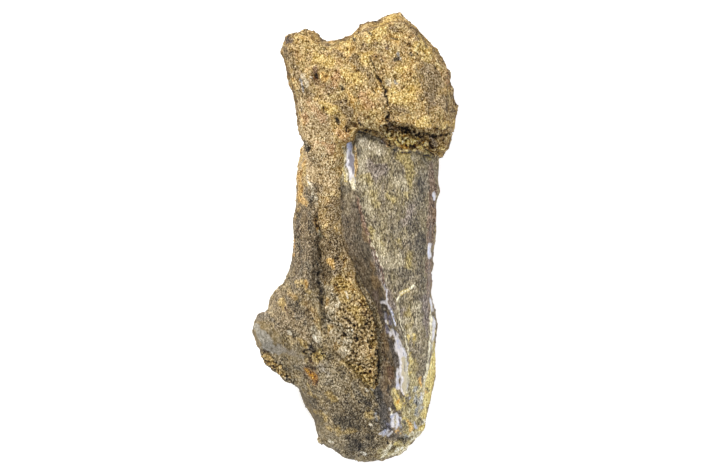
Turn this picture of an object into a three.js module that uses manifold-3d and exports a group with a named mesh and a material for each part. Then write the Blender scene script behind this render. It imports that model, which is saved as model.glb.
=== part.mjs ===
// A fossil duck-billed dinosaur tooth lying on its back, with part of its sandstone still stuck to it.
// Millimetres. +Z is up from the table, +Y runs along the tooth from its tip to the stone at its root end,
// and the enamel face with its keel looks up. The origin is under the middle of the fossil, on the table.
//
// Both bodies are lofts. A body is described by rails, lines that run its whole length, such as the keel
// or the edge of the enamel. A section is the ring through every rail at one station of the loft.
import * as THREE from 'three';
import { LoftGeometry } from 'three/addons/geometries/LoftGeometry.js';
import { ImprovedNoise } from 'three/addons/math/ImprovedNoise.js';
import { mergeVertices } from 'three/addons/utils/BufferGeometryUtils.js';
import Module from 'manifold-3d';

const wasm = await Module();
wasm.setup();

// ---- Driving dimensions ----

const LENGTH = 50; // whole fossil, from the stone's peak to the tooth's tip
const SEAT_GAP = 0.3; // between the tooth and the stone that holds it
const STEP = 1.15; // most that two neighbouring sections lie apart
const MOST_BULGE = 0.3; // most that a wall bulges between two rails, as a share of its width
const REST_CUT = 0.45; // how much of each low point is worn flat where the fossil rests

const TOOTH_GRAIN = { size: 2.6, height: 0.16 }; // soft swells of the root and the worn enamel
const STONE_GRAIN = { size: 2.1, height: 0.36 }; // lumps of the broken sandstone
const GRAIN_DETAIL = 0.38; // size and height of the second, finer set of lumps, as a share of the first

const REACH = 40; // half the side of the block that trims everything below the table
const ABOVE = 18; // clear over the highest point of the stone, where the ledge's cut ends

const BALL_FACETS = [8, 5]; // round a pit or a lump, and from its top to its bottom
const CRACK_STEPS = 12; // lengths that the crack is swept in
const WELD = 1e-4; // corners nearer than this are one

// ---- The tooth: rails along Y, rows of [y, x, z] from the tip up ----

const toothRails = {
  leftEdge: [
    [-24.97, 0.1, 4.6], [-24.2, -1.9, 4.8], [-23.6, -2.6, 5.0], [-22.9, -3.7, 5.2], [-20.9, -4.4, 5.4],
    [-18.2, -5.7, 5.6], [-16.9, -6.4, 5.8], [-15.8, -7.8, 6.0], [-15.0, -9.1, 6.2], [-14.0, -9.9, 6.4],
    [-12.9, -10.4, 6.8], [-11.6, -11.1, 7.2], [-10.4, -11.4, 7.4], [-9.5, -11.2, 7.3], [-8.9, -10.7, 7.0],
    [-8.2, -9.7, 6.6], [-7.0, -9.3, 6.4], [-5.6, -8.5, 6.2], [-4.2, -7.3, 6.0], [-2.9, -6.8, 6.0],
    [-0.9, -6.7, 6.0], [1.8, -6.8, 6.0], [3.8, -6.5, 6.0], [6.4, -6.4, 6.0], [8.4, -6.2, 6.0], [14.0, -4.6, 6.2],
  ],
  shoulder: [
    [-24.97, 0.5, 5.4], [-23.0, -1.8, 7.0], [-20.5, -2.9, 8.2], [-17.5, -4.4, 8.6], [-15.4, -6.4, 8.4],
    [-13.2, -8.4, 8.6], [-11.2, -9.4, 9.1], [-9.0, -8.8, 9.4], [-6.5, -7.2, 9.6], [-3.0, -5.8, 9.8],
    [2.0, -5.5, 10.0], [7.0, -5.1, 10.2], [14.0, -3.6, 9.8],
  ],
  rootCrest: [
    [-24.97, 0.9, 5.8], [-22.5, -0.4, 8.2], [-19.5, -1.2, 9.5], [-16.5, -2.2, 10.2], [-14.2, -3.6, 10.6],
    [-11.6, -5.2, 11.0], [-8.5, -5.4, 11.2], [-5.0, -4.9, 10.9], [0.0, -4.6, 10.8], [5.0, -4.4, 11.0],
    [14.0, -2.6, 10.4],
  ],
  hollow: [
    [-24.97, 1.3, 5.9], [-22.0, 1.2, 8.5], [-18.5, 0.9, 9.6], [-15.0, -0.4, 9.6], [-11.0, -2.0, 9.3],
    [-6.0, -2.4, 9.1], [-1.0, -2.8, 9.4], [5.0, -2.8, 10.2], [14.0, -1.6, 10.6],
  ],
  crownLeftMargin: [
    [-24.97, 1.7, 5.9], [-22.4, 2.9, 8.0], [-19.5, 2.8, 9.1], [-17.1, 2.7, 9.6], [-14.9, 2.8, 9.8],
    [-12.7, 3.15, 9.9], [-10.4, 2.95, 9.9], [-8.2, 2.5, 9.9], [-6.0, 1.4, 9.9], [-3.8, 0.2, 9.9],
    [-1.6, -1.0, 10.1], [0.7, -1.7, 10.4], [5.1, -1.6, 11.1], [9.0, -1.2, 11.4], [14.0, -0.6, 11.0],
  ],
  keel: [
    [-24.97, 2.1, 5.9], [-23.6, 3.6, 7.2], [-22.0, 4.6, 8.4], [-20.0, 5.3, 9.7], [-17.7, 5.6, 10.9],
    [-16.0, 5.7, 11.6], [-13.8, 5.5, 12.2], [-11.6, 5.05, 12.5], [-9.9, 4.5, 12.6], [-8.2, 3.95, 12.6],
    [-6.6, 3.4, 12.6], [-3.8, 2.5, 12.5], [-0.4, 1.7, 12.3], [2.3, 0.85, 12.2], [4.9, 0.1, 12.1],
    [9.0, 0.1, 12.0], [14.0, 0.4, 11.2],
  ],
  faceMiddle: [
    [-24.97, 2.5, 5.7], [-22.5, 5.8, 7.5], [-20.0, 6.6, 9.0], [-17.0, 7.0, 10.1], [-13.0, 7.1, 10.9],
    [-8.0, 6.7, 11.0], [-3.0, 5.7, 11.1], [2.0, 4.9, 11.1], [8.0, 4.7, 11.1], [14.0, 4.4, 10.4],
  ],
  crownRightMargin: [
    [-24.97, 2.8, 5.3], [-23.5, 4.9, 6.3], [-21.5, 6.3, 7.3], [-19.0, 7.3, 8.3], [-16.4, 7.9, 9.2],
    [-14.7, 8.2, 9.6], [-11.3, 8.4, 9.8], [-6.2, 8.1, 9.8], [-3.4, 8.1, 9.7], [0.0, 8.3, 9.6],
    [4.0, 8.6, 9.5], [8.0, 8.7, 9.4], [14.0, 7.6, 8.8],
  ],
  rightEdge: [
    [-24.97, 3.1, 4.9], [-24.2, 5.0, 5.0], [-23.6, 5.75, 5.1], [-22.9, 6.6, 5.3], [-21.6, 7.4, 5.6],
    [-20.2, 8.05, 5.9], [-18.9, 8.4, 6.2], [-17.6, 8.6, 6.6], [-16.2, 9.05, 6.8], [-12.2, 9.1, 7.0],
    [-10.4, 9.3, 7.0], [-8.9, 8.95, 7.0], [-7.6, 8.85, 6.8], [-6.2, 8.45, 6.6], [-4.9, 8.45, 6.4],
    [-2.9, 8.55, 6.3], [-0.9, 8.8, 6.2], [3.8, 9.15, 6.2], [8.4, 9.3, 6.2], [14.0, 7.9, 6.2],
  ],
  backRight: [
    [-24.97, 2.6, 4.2], [-22.5, 4.8, 2.6], [-19.0, 6.1, 1.6], [-14.0, 6.6, 1.0], [-8.0, 6.3, 1.4],
    [0.0, 6.2, 1.9], [8.0, 6.4, 1.8], [14.0, 5.4, 2.4],
  ],
  backMiddle: [
    [-24.97, 1.6, 4.0], [-22.5, 1.8, 2.0], [-19.0, 1.2, 0.7], [-14.0, 0.6, 0.1], [-8.0, 0.6, 0.7],
    [0.0, 1.0, 1.3], [8.0, 1.2, 1.4], [14.0, 1.4, 2.2],
  ],
  backLeft: [
    [-24.97, 0.6, 4.2], [-22.5, -1.4, 2.6], [-19.0, -2.9, 1.5], [-15.0, -4.8, 1.0], [-11.0, -6.6, 1.4],
    [-8.0, -5.8, 1.6], [0.0, -4.0, 1.9], [8.0, -3.6, 1.9], [14.0, -2.6, 2.6],
  ],
};

// From each rail to the next, in order round the ring: how many facets, and how far the wall bulges out.
const toothSpans = [
  [4, 0.45], [4, 0.3], [3, -0.12], [3, -0.15], [3, -0.22], [4, -0.15], [3, 0.15], [3, 0.3],
  [4, 0.7], [3, 0.15], [3, 0.15], [4, 0.7],
];

// ---- The stone: the block over the root end has rails along X, rows of [x, y, z] from the left ----

const blockRails = {
  toe: [
    [-8.05, 20.6, 6.6], [-7.75, 18.9, 6.6], [-7.35, 17.6, 6.6], [-6.85, 16.3, 6.6], [-6.5, 14.3, 6.6],
    [-6.2, 12.2, 6.8], [-5.95, 9.6, 7.4], [-5.3, 8.0, 9.4], [-4.2, 7.6, 10.9], [-2.0, 7.9, 11.3],
    [-0.9, 9.7, 11.6], [0.4, 11.4, 11.8], [2.4, 11.2, 11.4], [3.6, 9.9, 10.9], [5.0, 9.3, 10.5],
    [7.3, 9.4, 9.7], [8.4, 8.9, 8.7], [9.3, 8.45, 7.4], [9.9, 9.1, 7.0], [10.6, 10.5, 7.0], [11.1, 12.1, 7.0],
    [11.4, 13.6, 7.2],
  ],
  brow: [
    [-8.05, 20.9, 7.6], [-7.0, 17.2, 10.4], [-6.2, 12.6, 10.9], [-5.3, 9.7, 11.7], [-3.0, 9.3, 12.4],
    [-0.9, 10.9, 12.9], [1.0, 12.3, 13.2], [3.0, 12.2, 13.9], [5.0, 11.9, 14.7], [8.0, 11.5, 14.9],
    [10.0, 11.6, 13.6], [11.0, 13.0, 11.4], [11.4, 13.8, 8.0],
  ],
  face: [
    [-8.05, 21.3, 8.0], [-7.0, 19.0, 11.4], [-5.0, 17.0, 12.6], [-2.0, 16.5, 12.9], [2.0, 17.0, 13.9],
    [6.0, 17.0, 15.1], [8.6, 16.6, 14.8], [10.2, 15.6, 13.2], [11.4, 14.1, 8.4],
  ],
  ridge: [
    [-8.05, 22.0, 7.6], [-7.0, 21.9, 10.4], [-5.2, 22.0, 11.2], [-3.8, 21.0, 11.3], [-1.0, 21.1, 11.6],
    [0.6, 22.1, 12.4], [2.6, 22.7, 13.0], [4.9, 23.5, 12.8], [7.0, 21.8, 13.4], [9.0, 19.5, 13.0],
    [10.4, 16.9, 12.0], [11.4, 14.4, 8.0],
  ],
  topEdge: [
    [-8.05, 22.35, 6.8], [-7.6, 22.75, 6.9], [-6.2, 23.0, 7.0], [-4.95, 23.25, 7.1], [-4.6, 22.6, 7.2],
    [-3.8, 21.95, 7.2], [-2.7, 21.75, 7.4], [-0.6, 22.0, 7.6], [0.1, 22.6, 7.6], [0.6, 23.35, 7.6],
    [1.2, 23.7, 7.6], [2.6, 24.0, 7.6], [4.2, 24.7, 7.4], [4.95, 25.0, 7.2], [5.6, 24.4, 7.2], [6.6, 23.4, 7.2],
    [8.2, 21.7, 7.2], [9.0, 20.8, 7.2], [9.7, 19.7, 7.2], [10.3, 18.3, 7.2], [10.7, 16.7, 7.2], [11.1, 15.2, 7.2],
    [11.4, 14.3, 7.2],
  ],
  backTop: [
    [-8.05, 21.8, 6.2], [-6.6, 21.0, 2.4], [-3.8, 20.4, 1.6], [0.0, 20.6, 1.2], [4.9, 22.6, 1.6],
    [8.4, 19.6, 1.8], [10.4, 16.8, 3.0], [11.4, 14.3, 6.4],
  ],
  backFace: [
    [-8.05, 21.2, 6.0], [-6.8, 18.2, 1.6], [-4.0, 16.5, 0.2], [0.0, 16.5, 0.0], [5.0, 17.0, 0.1],
    [8.6, 16.2, 0.7], [10.4, 15.2, 2.4], [11.4, 14.0, 6.2],
  ],
  heel: [
    [-8.05, 20.5, 6.1], [-6.6, 14.6, 2.6], [-5.0, 10.2, 1.6], [-2.0, 8.6, 0.9], [2.0, 8.8, 0.6], [6.0, 8.9, 0.9],
    [8.8, 9.4, 2.0], [10.4, 11.8, 3.6], [11.4, 13.8, 6.4],
  ],
};
const blockSpans = [[3, 0.15], [5, 0.1], [5, 0.15], [4, 0.35], [4, 0.35], [4, 0.1], [5, 0.1], [5, 0.3]];

// The cut that leaves the block's right half standing over a lower layer, as a ledge with a hollow below it.
const ledgeRails = {
  lip: [
    [2.6, 11.9, 13.4], [3.6, 12.35, 13.6], [5.5, 12.2, 13.9], [7.2, 11.8, 13.9], [9.0, 11.45, 13.4],
    [10.4, 11.4, 12.5], [12.0, 12.4, 11.6],
  ],
  back: [
    [2.6, 12.0, 13.2], [3.6, 13.7, 12.9], [5.5, 14.1, 13.0], [7.2, 13.5, 12.9], [9.0, 12.7, 12.2],
    [10.4, 12.2, 11.3], [12.0, 12.8, 10.6],
  ],
  floor: [
    [2.6, 11.8, 12.7], [3.6, 12.9, 11.8], [5.5, 13.3, 11.6], [7.2, 12.8, 11.3], [9.0, 12.1, 10.5],
    [10.4, 11.7, 9.6], [12.0, 12.4, 9.2],
  ],
  swell: [
    [2.6, 11.0, 12.9], [3.6, 10.9, 12.2], [5.0, 10.7, 12.0], [7.0, 10.6, 11.3], [9.0, 10.3, 10.2],
    [10.4, 10.4, 9.4], [12.0, 10.8, 9.0],
  ],
  toe: [[2.6, 8.6, 12.6], [5.0, 8.6, 11.0], [7.3, 8.4, 10.1], [9.0, 7.8, 8.9], [12.0, 8.0, 8.0]],
  outside: [[2.6, 7.0, ABOVE], [12.0, 7.0, ABOVE]],
  above: [[2.6, 11.7, ABOVE], [7.0, 11.9, ABOVE], [12.0, 12.4, ABOVE]],
};
const ledgeSpans = [[1, 0], [1, 0], [2, 0.1], [3, 0.2], [1, 0], [1, 0], [1, 0]];

// The tongue of stone that runs down the tooth's hollow and widens into a grainy patch: rails along Y.
const tongueRails = {
  left: [
    [-17.3, 1.9, 9.4], [-15.8, 0.6, 9.8], [-14.0, -0.9, 9.9], [-12.1, -2.3, 9.9], [-9.3, -3.2, 9.9],
    [-6.0, -3.3, 9.8], [-2.9, -3.5, 9.9], [0.0, -3.8, 10.2], [4.0, -4.0, 10.5], [6.2, -4.6, 10.7], [12.0, -5.6, 9.4],
  ],
  crest: [
    [-17.3, 2.1, 10.0], [-16.2, 1.7, 10.9], [-14.0, 1.0, 11.6], [-11.5, 0.3, 12.0], [-8.0, -0.4, 11.7],
    [-4.0, -1.8, 11.1], [0.0, -2.8, 11.1], [4.0, -3.0, 11.5], [7.5, -3.2, 12.2], [12.0, -3.2, 12.2],
  ],
  right: [
    [-17.3, 2.2, 9.8], [-16.4, 2.4, 10.5], [-14.9, 2.5, 11.0], [-12.7, 2.55, 11.4], [-11.0, 2.45, 11.5],
    [-9.3, 2.15, 11.4], [-7.7, 1.65, 11.2], [-6.0, 0.85, 11.0], [-4.3, -0.05, 10.9], [-2.4, -0.95, 10.8],
    [1.8, -1.7, 11.0], [5.7, -1.7, 11.6], [12.0, -1.2, 12.2],
  ],
  rightRoot: [
    [-17.3, 2.1, 8.6], [-14.9, 2.2, 8.8], [-11.0, 2.1, 8.9], [-6.0, 0.5, 8.9], [0.0, -1.6, 9.2], [12.0, -1.4, 9.4],
  ],
  leftRoot: [
    [-17.3, 1.9, 8.6], [-14.0, -0.6, 8.8], [-9.3, -2.4, 8.6], [-3.0, -3.0, 8.6], [4.0, -3.6, 9.2], [12.0, -4.6, 8.6],
  ],
};
const tongueSpans = [[4, 0.2], [4, 0.2], [3, 0.15], [2, 0], [2, 0]];

// Marks in the stone: a crack down the block, and pits left by lost pebbles, as [x, y, z] and half sizes.
const CRACK = {
  width: 0.34,
  depth: 0.7,
  path: [
    [1.6, 19.5, 14.2], [1.9, 18.6, 14.2], [2.7, 17.2, 14.0], [3.2, 16.1, 14.1], [3.75, 15.0, 14.2], [3.65, 13.6, 14.3],
    [3.5, 12.3, 14.2],
  ],
};
const PITS = [
  { at: [-4.3, 17.6, 12.7], half: [0.55, 1.25, 0.8], lean: 0.25 },
  { at: [-5.5, 16.0, 12.3], half: [0.4, 0.9, 0.5], lean: 0.2 },
  { at: [-0.3, 12.0, 13.0], half: [0.8, 0.5, 0.5], lean: -0.4 },
  { at: [0.9, -10.4, 12.2], half: [0.4, 0.75, 0.7], lean: 0.5 },
  { at: [-0.6, -11.2, 12.3], half: [0.42, 0.6, 0.7], lean: 0.1 },
  { at: [1.9, -11.6, 11.8], half: [0.35, 0.7, 0.6], lean: 0.1 },
  { at: [0.2, -12.6, 12.1], half: [0.6, 0.4, 0.55], lean: 0.3 },
  { at: [-1.4, -8.6, 11.9], half: [0.4, 0.6, 0.5], lean: -0.3 },
];

// Marks in the root: the groove between it and the tongue, the hollow below its shoulder, and the rust pit.
const ROOT_PITS = [
  { at: [-3.8, -5.0, 10.9], half: [0.5, 3.2, 1.1], lean: -0.04 },
  { at: [-4.3, -12.9, 11.2], half: [0.9, 0.7, 0.9], lean: 0.5 },
  { at: [-4.7, -15.2, 10.3], half: [0.7, 1.2, 0.8], lean: 0.35 },
  { at: [6.1, -19.5, 10.2], half: [0.8, 1.4, 0.7], lean: 0.3 },
];

// Lumps on the root: the knob, the crust that sits under it, and a nub near the tip.
const ROOT_LUMPS = [
  { at: [-9.35, -10.9, 7.3], half: [2.05, 2.35, 2.2], lean: 0.3 },
  { at: [-9.0, -13.9, 6.9], half: [1.05, 0.85, 1.0], lean: -0.6 },
  { at: [-7.7, -15.3, 6.9], half: [1.1, 0.75, 0.95], lean: -0.5 },
  { at: [-3.55, -22.7, 5.4], half: [0.5, 0.45, 0.55], lean: 0 },
];

// Flat fracture faces, where the stone and the root's back broke away: a point on each, and its way out.
const STONE_BREAKS = [
  { at: [-6.9, 17.5, 3.4], out: [-0.72, 0.12, -0.68] },
  { at: [-5.0, 20.6, 3.0], out: [-0.25, 0.68, -0.68] },
  { at: [4.5, 22.4, 3.0], out: [0.2, 0.74, -0.64] },
  { at: [9.3, 13.5, 2.6], out: [0.78, -0.16, -0.6] },
  { at: [-6.5, 18.5, 11.4], out: [-0.5, 0.1, 0.86] },
  { at: [9.8, 17.4, 12.6], out: [0.62, 0.3, 0.72] },
];
const ROOT_BREAKS = [
  { at: [-7.4, -11.5, 3.1], out: [-0.62, -0.1, -0.78] },
  { at: [-2.6, -20.8, 2.9], out: [-0.4, -0.5, -0.77] },
  { at: [6.6, -3.5, 2.0], out: [0.66, 0.08, -0.75] },
  { at: [6.4, -17.5, 2.2], out: [0.6, -0.35, -0.72] },
];

// ---- Building blocks ----

const noise = new ImprovedNoise();

// A rail as a function from its station to the other two coordinates.
function railOf(rows) {
  const stations = rows.map((row) => row[0]);
  const values = rows.flatMap((row) => row.slice(1));
  const line = new THREE.CubicInterpolant(stations, values, 2);
  return (station) => [...line.evaluate(station)];
}

// The stations of every section: each station of the outline rail, and more where two lie over STEP apart.
function stationsOf(rows) {
  const stations = [rows[0][0]];
  for (const [station] of rows.slice(1)) {
    const last = stations.at(-1);
    const parts = Math.ceil((station - last) / STEP);
    for (let part = 1; part <= parts; part += 1) {
      stations.push(last + ((station - last) * part) / parts);
    }
  }
  return stations;
}

// The ring of [a, b] points at one station. Each span bulges to the left of its run, which is outwards.
function ringAt(station, rails, spans) {
  return spans.flatMap(([facets, bulge], index) => {
    const [fromA, fromB] = rails[index](station);
    const [toA, toB] = rails[(index + 1) % rails.length](station);
    const chord = Math.hypot(toA - fromA, toB - fromB) || 1;
    return Array.from({ length: facets }, (_, facet) => {
      const share = facet / facets;
      const height = Math.sign(bulge) * Math.min(Math.abs(bulge), chord * MOST_BULGE);
      const rise = (height * 4 * share * (1 - share)) / chord;
      return [
        fromA + (toA - fromA) * share - (toB - fromB) * rise,
        fromB + (toB - fromB) * share + (toA - fromA) * rise,
      ];
    });
  });
}

// A closed loft through the rails, whose stations lie along X or along Y.
function loft(railRows, spans, outline, axis) {
  const rails = Object.values(railRows).map(railOf);
  const sections = stationsOf(outline).map((station) => {
    const ring = ringAt(station, rails, spans);
    return axis === 'x'
      ? ring.map(([y, z]) => new THREE.Vector3(station, y, z)).reverse()
      : ring.map(([x, z]) => new THREE.Vector3(x, station, z));
  });
  return new LoftGeometry(sections, { capStart: true, capEnd: true });
}

// The geometry with each corner held once.
function welded(geometry) {
  const bare = geometry.index ? geometry.toNonIndexed() : geometry.clone();
  bare.deleteAttribute('normal');
  bare.deleteAttribute('uv');
  return mergeVertices(bare, WELD);
}

// The geometry with every corner moved out along its normal by the lumps of a stone, and by a fixed offset.
function roughened(geometry, grain, offset = 0) {
  const made = welded(geometry);
  made.computeVertexNormals();
  const { position, normal } = made.attributes;
  const point = new THREE.Vector3();
  const out = new THREE.Vector3();
  for (let i = 0; i < position.count; i += 1) {
    point.fromBufferAttribute(position, i);
    out.fromBufferAttribute(normal, i);
    const lump = noise.noise(...point.clone().divideScalar(grain.size));
    const crumb = noise.noise(...point.clone().divideScalar(grain.size * GRAIN_DETAIL));
    point.addScaledVector(out, grain.height * (lump + GRAIN_DETAIL * crumb) + offset);
    position.setXYZ(i, ...point);
  }
  return made;
}

// A closed geometry as a manifold-3d solid.
function solidOf(geometry) {
  const closed = welded(geometry);
  const triVerts = new Uint32Array(closed.index.array);
  const vertProperties = new Float32Array(closed.attributes.position.array);
  return new wasm.Manifold(new wasm.Mesh({ numProp: 3, vertProperties, triVerts }));
}

// A mesh in three.js of a manifold-3d solid.
function meshOf(solid, name, material) {
  const { vertProperties, triVerts } = solid.getMesh();
  const geometry = new THREE.BufferGeometry();
  geometry.setAttribute('position', new THREE.BufferAttribute(vertProperties, 3));
  geometry.setIndex(new THREE.BufferAttribute(triVerts, 1));
  geometry.computeVertexNormals();
  const mesh = new THREE.Mesh(geometry, material);
  mesh.name = name;
  return mesh;
}

// A pit or a lump is a squashed ball, turned about Z.
function squashedBall({ at, half, lean }) {
  const ball = new THREE.SphereGeometry(1, ...BALL_FACETS).scale(...half).rotateZ(lean).translate(...at);
  return solidOf(ball);
}

// The crack is a V-shaped cut swept down its path.
function crackSolid() {
  const { width, depth, path } = CRACK;
  const extrudePath = new THREE.CatmullRomCurve3(path.map((point) => new THREE.Vector3(...point)));
  const section = new THREE.Shape([
    new THREE.Vector2(-depth, 0), new THREE.Vector2(0, -width / 2),
    new THREE.Vector2(depth, 0), new THREE.Vector2(0, width / 2),
  ]);
  return solidOf(new THREE.ExtrudeGeometry(section, { steps: CRACK_STEPS, bevelEnabled: false, extrudePath }));
}

// Everything on the outer side of a plane.
function beyond({ at, out }) {
  const block = new THREE.BoxGeometry(2 * REACH, 2 * REACH, REACH).translate(0, 0, REACH / 2);
  const turn = new THREE.Quaternion().setFromUnitVectors(
    new THREE.Vector3(0, 0, 1),
    new THREE.Vector3(...out).normalize(),
  );
  return solidOf(block.applyQuaternion(turn).translate(...at));
}

const belowTable = () => beyond({ at: [0, 0, REST_CUT], out: [0, 0, -1] });

const cutAll = (solid, cuts) => cuts.reduce((left, cut) => left.subtract(cut), solid);
const joinAll = (solid, lumps) => lumps.reduce((whole, lump) => whole.add(lump), solid);

// ---- The pieces ----

const toothLoft = () => loft(toothRails, toothSpans, toothRails.leftEdge, 'y');

function toothMesh() {
  const body = solidOf(roughened(toothLoft(), TOOTH_GRAIN));
  const lumpy = joinAll(body, ROOT_LUMPS.map(squashedBall));
  const solid = cutAll(lumpy, [...ROOT_PITS.map(squashedBall), ...ROOT_BREAKS.map(beyond), belowTable()]);
  const material = new THREE.MeshStandardMaterial({ color: '#776a57', roughness: 0.55, metalness: 0 });
  return meshOf(solid, 'tooth', material);
}

function stoneMesh() {
  const block = solidOf(roughened(loft(blockRails, blockSpans, blockRails.topEdge, 'x'), STONE_GRAIN));
  const ledge = solidOf(loft(ledgeRails, ledgeSpans, ledgeRails.lip, 'x'));
  const tongue = solidOf(roughened(loft(tongueRails, tongueSpans, tongueRails.right, 'y'), STONE_GRAIN));
  const seat = solidOf(roughened(toothLoft(), TOOTH_GRAIN, SEAT_GAP));
  const broken = cutAll(block, [ledge, ...STONE_BREAKS.map(beyond)]);
  const cuts = [crackSolid(), ...PITS.map(squashedBall), seat, belowTable()];
  const solid = cutAll(broken.add(tongue), cuts);
  const largest = solid.decompose().sort((a, b) => b.volume() - a.volume())[0];
  const material = new THREE.MeshStandardMaterial({ color: '#b79b69', roughness: 0.95, metalness: 0 });
  return meshOf(largest, 'sandstone_matrix', material);
}

// ---- The fossil, moved so that the middle of its foot is the origin ----

const fossil = new THREE.Group();
fossil.add(toothMesh(), stoneMesh());
const box = new THREE.Box3().setFromObject(fossil);
const scale = LENGTH / (box.max.y - box.min.y);
const foot = box.getCenter(new THREE.Vector3()).setZ(box.min.z);
fossil.scale.setScalar(scale);
fossil.position.copy(foot).multiplyScalar(-scale);

export default fossil;
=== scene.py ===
"""A fossil duck-billed dinosaur tooth in its sandstone, lying on its back: fine surfaces, finishes and light.

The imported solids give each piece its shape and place. Here each one gets an even, fine skin, which is then
worn, grained, cracked and chipped. Surfaces are worked in millimetres and turned to metres at the end.
"""

import math
from itertools import product
from typing import NamedTuple

import bpy
import numpy as np
from mathutils import Matrix, Vector
from mathutils.bvhtree import BVHTree


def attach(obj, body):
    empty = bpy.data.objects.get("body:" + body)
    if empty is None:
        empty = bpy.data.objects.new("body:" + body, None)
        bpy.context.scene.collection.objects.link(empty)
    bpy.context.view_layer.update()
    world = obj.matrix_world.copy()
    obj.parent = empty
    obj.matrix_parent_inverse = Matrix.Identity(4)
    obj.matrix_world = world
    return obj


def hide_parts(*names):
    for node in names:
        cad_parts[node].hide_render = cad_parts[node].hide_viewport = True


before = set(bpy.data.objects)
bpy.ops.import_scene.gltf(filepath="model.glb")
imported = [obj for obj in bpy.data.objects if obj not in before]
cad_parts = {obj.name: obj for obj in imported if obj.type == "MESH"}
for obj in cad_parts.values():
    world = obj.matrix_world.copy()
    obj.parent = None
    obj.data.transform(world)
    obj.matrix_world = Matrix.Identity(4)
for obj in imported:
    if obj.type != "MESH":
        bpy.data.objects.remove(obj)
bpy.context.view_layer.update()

# ---- Real sizes, in millimetres ----

MM = 0.001
SKIN = 0.16  # width of one face of the fine skins
SAND = 0.21  # usual width of a sand grain, fine to medium
NODULE = 0.36  # width of the lumps of cemented sand in the grainy patch and under the ledge
SEAT_GAP = 0.3  # the room that the solids leave between tooth and stone
SEAT_BITE = 0.06  # how far the stone's seat is pressed into the tooth's skin
SEAT_FADE = 1.4  # stone further than this from the tooth isn't drawn down onto it
MARK_EDGE = 0.06  # the hardest edge that a mark has, to each side
FAR = 9.0  # stands for any distance too long to matter

# Where surfaces change: the place where the change starts, and the place where it is complete.
TIP_WORN = (-22.9, -21.9)  # up the tooth: enamel, above the tip that is worn bare
DARK_FACE_TOP = (6.0, 4.6)  # down the tooth: the dark face, below the sandstone
FIBRES_FADE = (-12, -7)  # up the tooth: the root's fibres, above its lump
TOOTH_TOP = (4.2, 6.0)  # height over the table: marks of the tooth's top
STONE_TOP = (5.0, 7.5)  # height over the table: marks of the stone's top

# ---- Lines of the object, in millimetres from the middle of its foot: x to the right, y up the tooth ----

# The left edge of the dark enamel face, the keel, and the right edge of the crown: rows of (y, x).
FACE_LEFT = [
    (-22.6, 3.6), (-21.0, 3.1), (-19.3, 2.8), (-17.1, 2.7), (-14.9, 2.85), (-12.7, 3.15), (-10.4, 2.95),
    (-8.2, 2.5), (-6.0, 1.4), (-3.8, 0.2), (-1.6, -1.0), (0.7, -1.7), (5.1, -1.6), (9.0, -1.2), (14.0, -0.6),
]
KEEL = [
    (-23.0, 4.6), (-20.0, 5.3), (-17.7, 5.6), (-16.0, 5.6), (-13.8, 5.2), (-11.6, 4.6), (-9.9, 4.1),
    (-8.2, 3.7), (-6.6, 3.3), (-3.8, 2.4), (-0.4, 1.4), (2.3, 0.7), (4.9, 0.1), (9.0, -0.2), (14.0, -0.2),
]
FACE_RIGHT = [
    (-23.5, 5.4), (-21.5, 6.8), (-19.0, 7.9), (-16.4, 8.4), (-14.7, 8.6), (-11.3, 8.7), (-6.2, 8.3),
    (0.0, 8.5), (14.0, 8.9),
]


class Stain(NamedTuple):
    """A colour laid over the top of the fossil: how strong, how soft its edge, and its strokes.

    A stroke is a path of (x, y, half width).
    """

    code: str
    strength: float
    soft: float
    strokes: list


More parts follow.
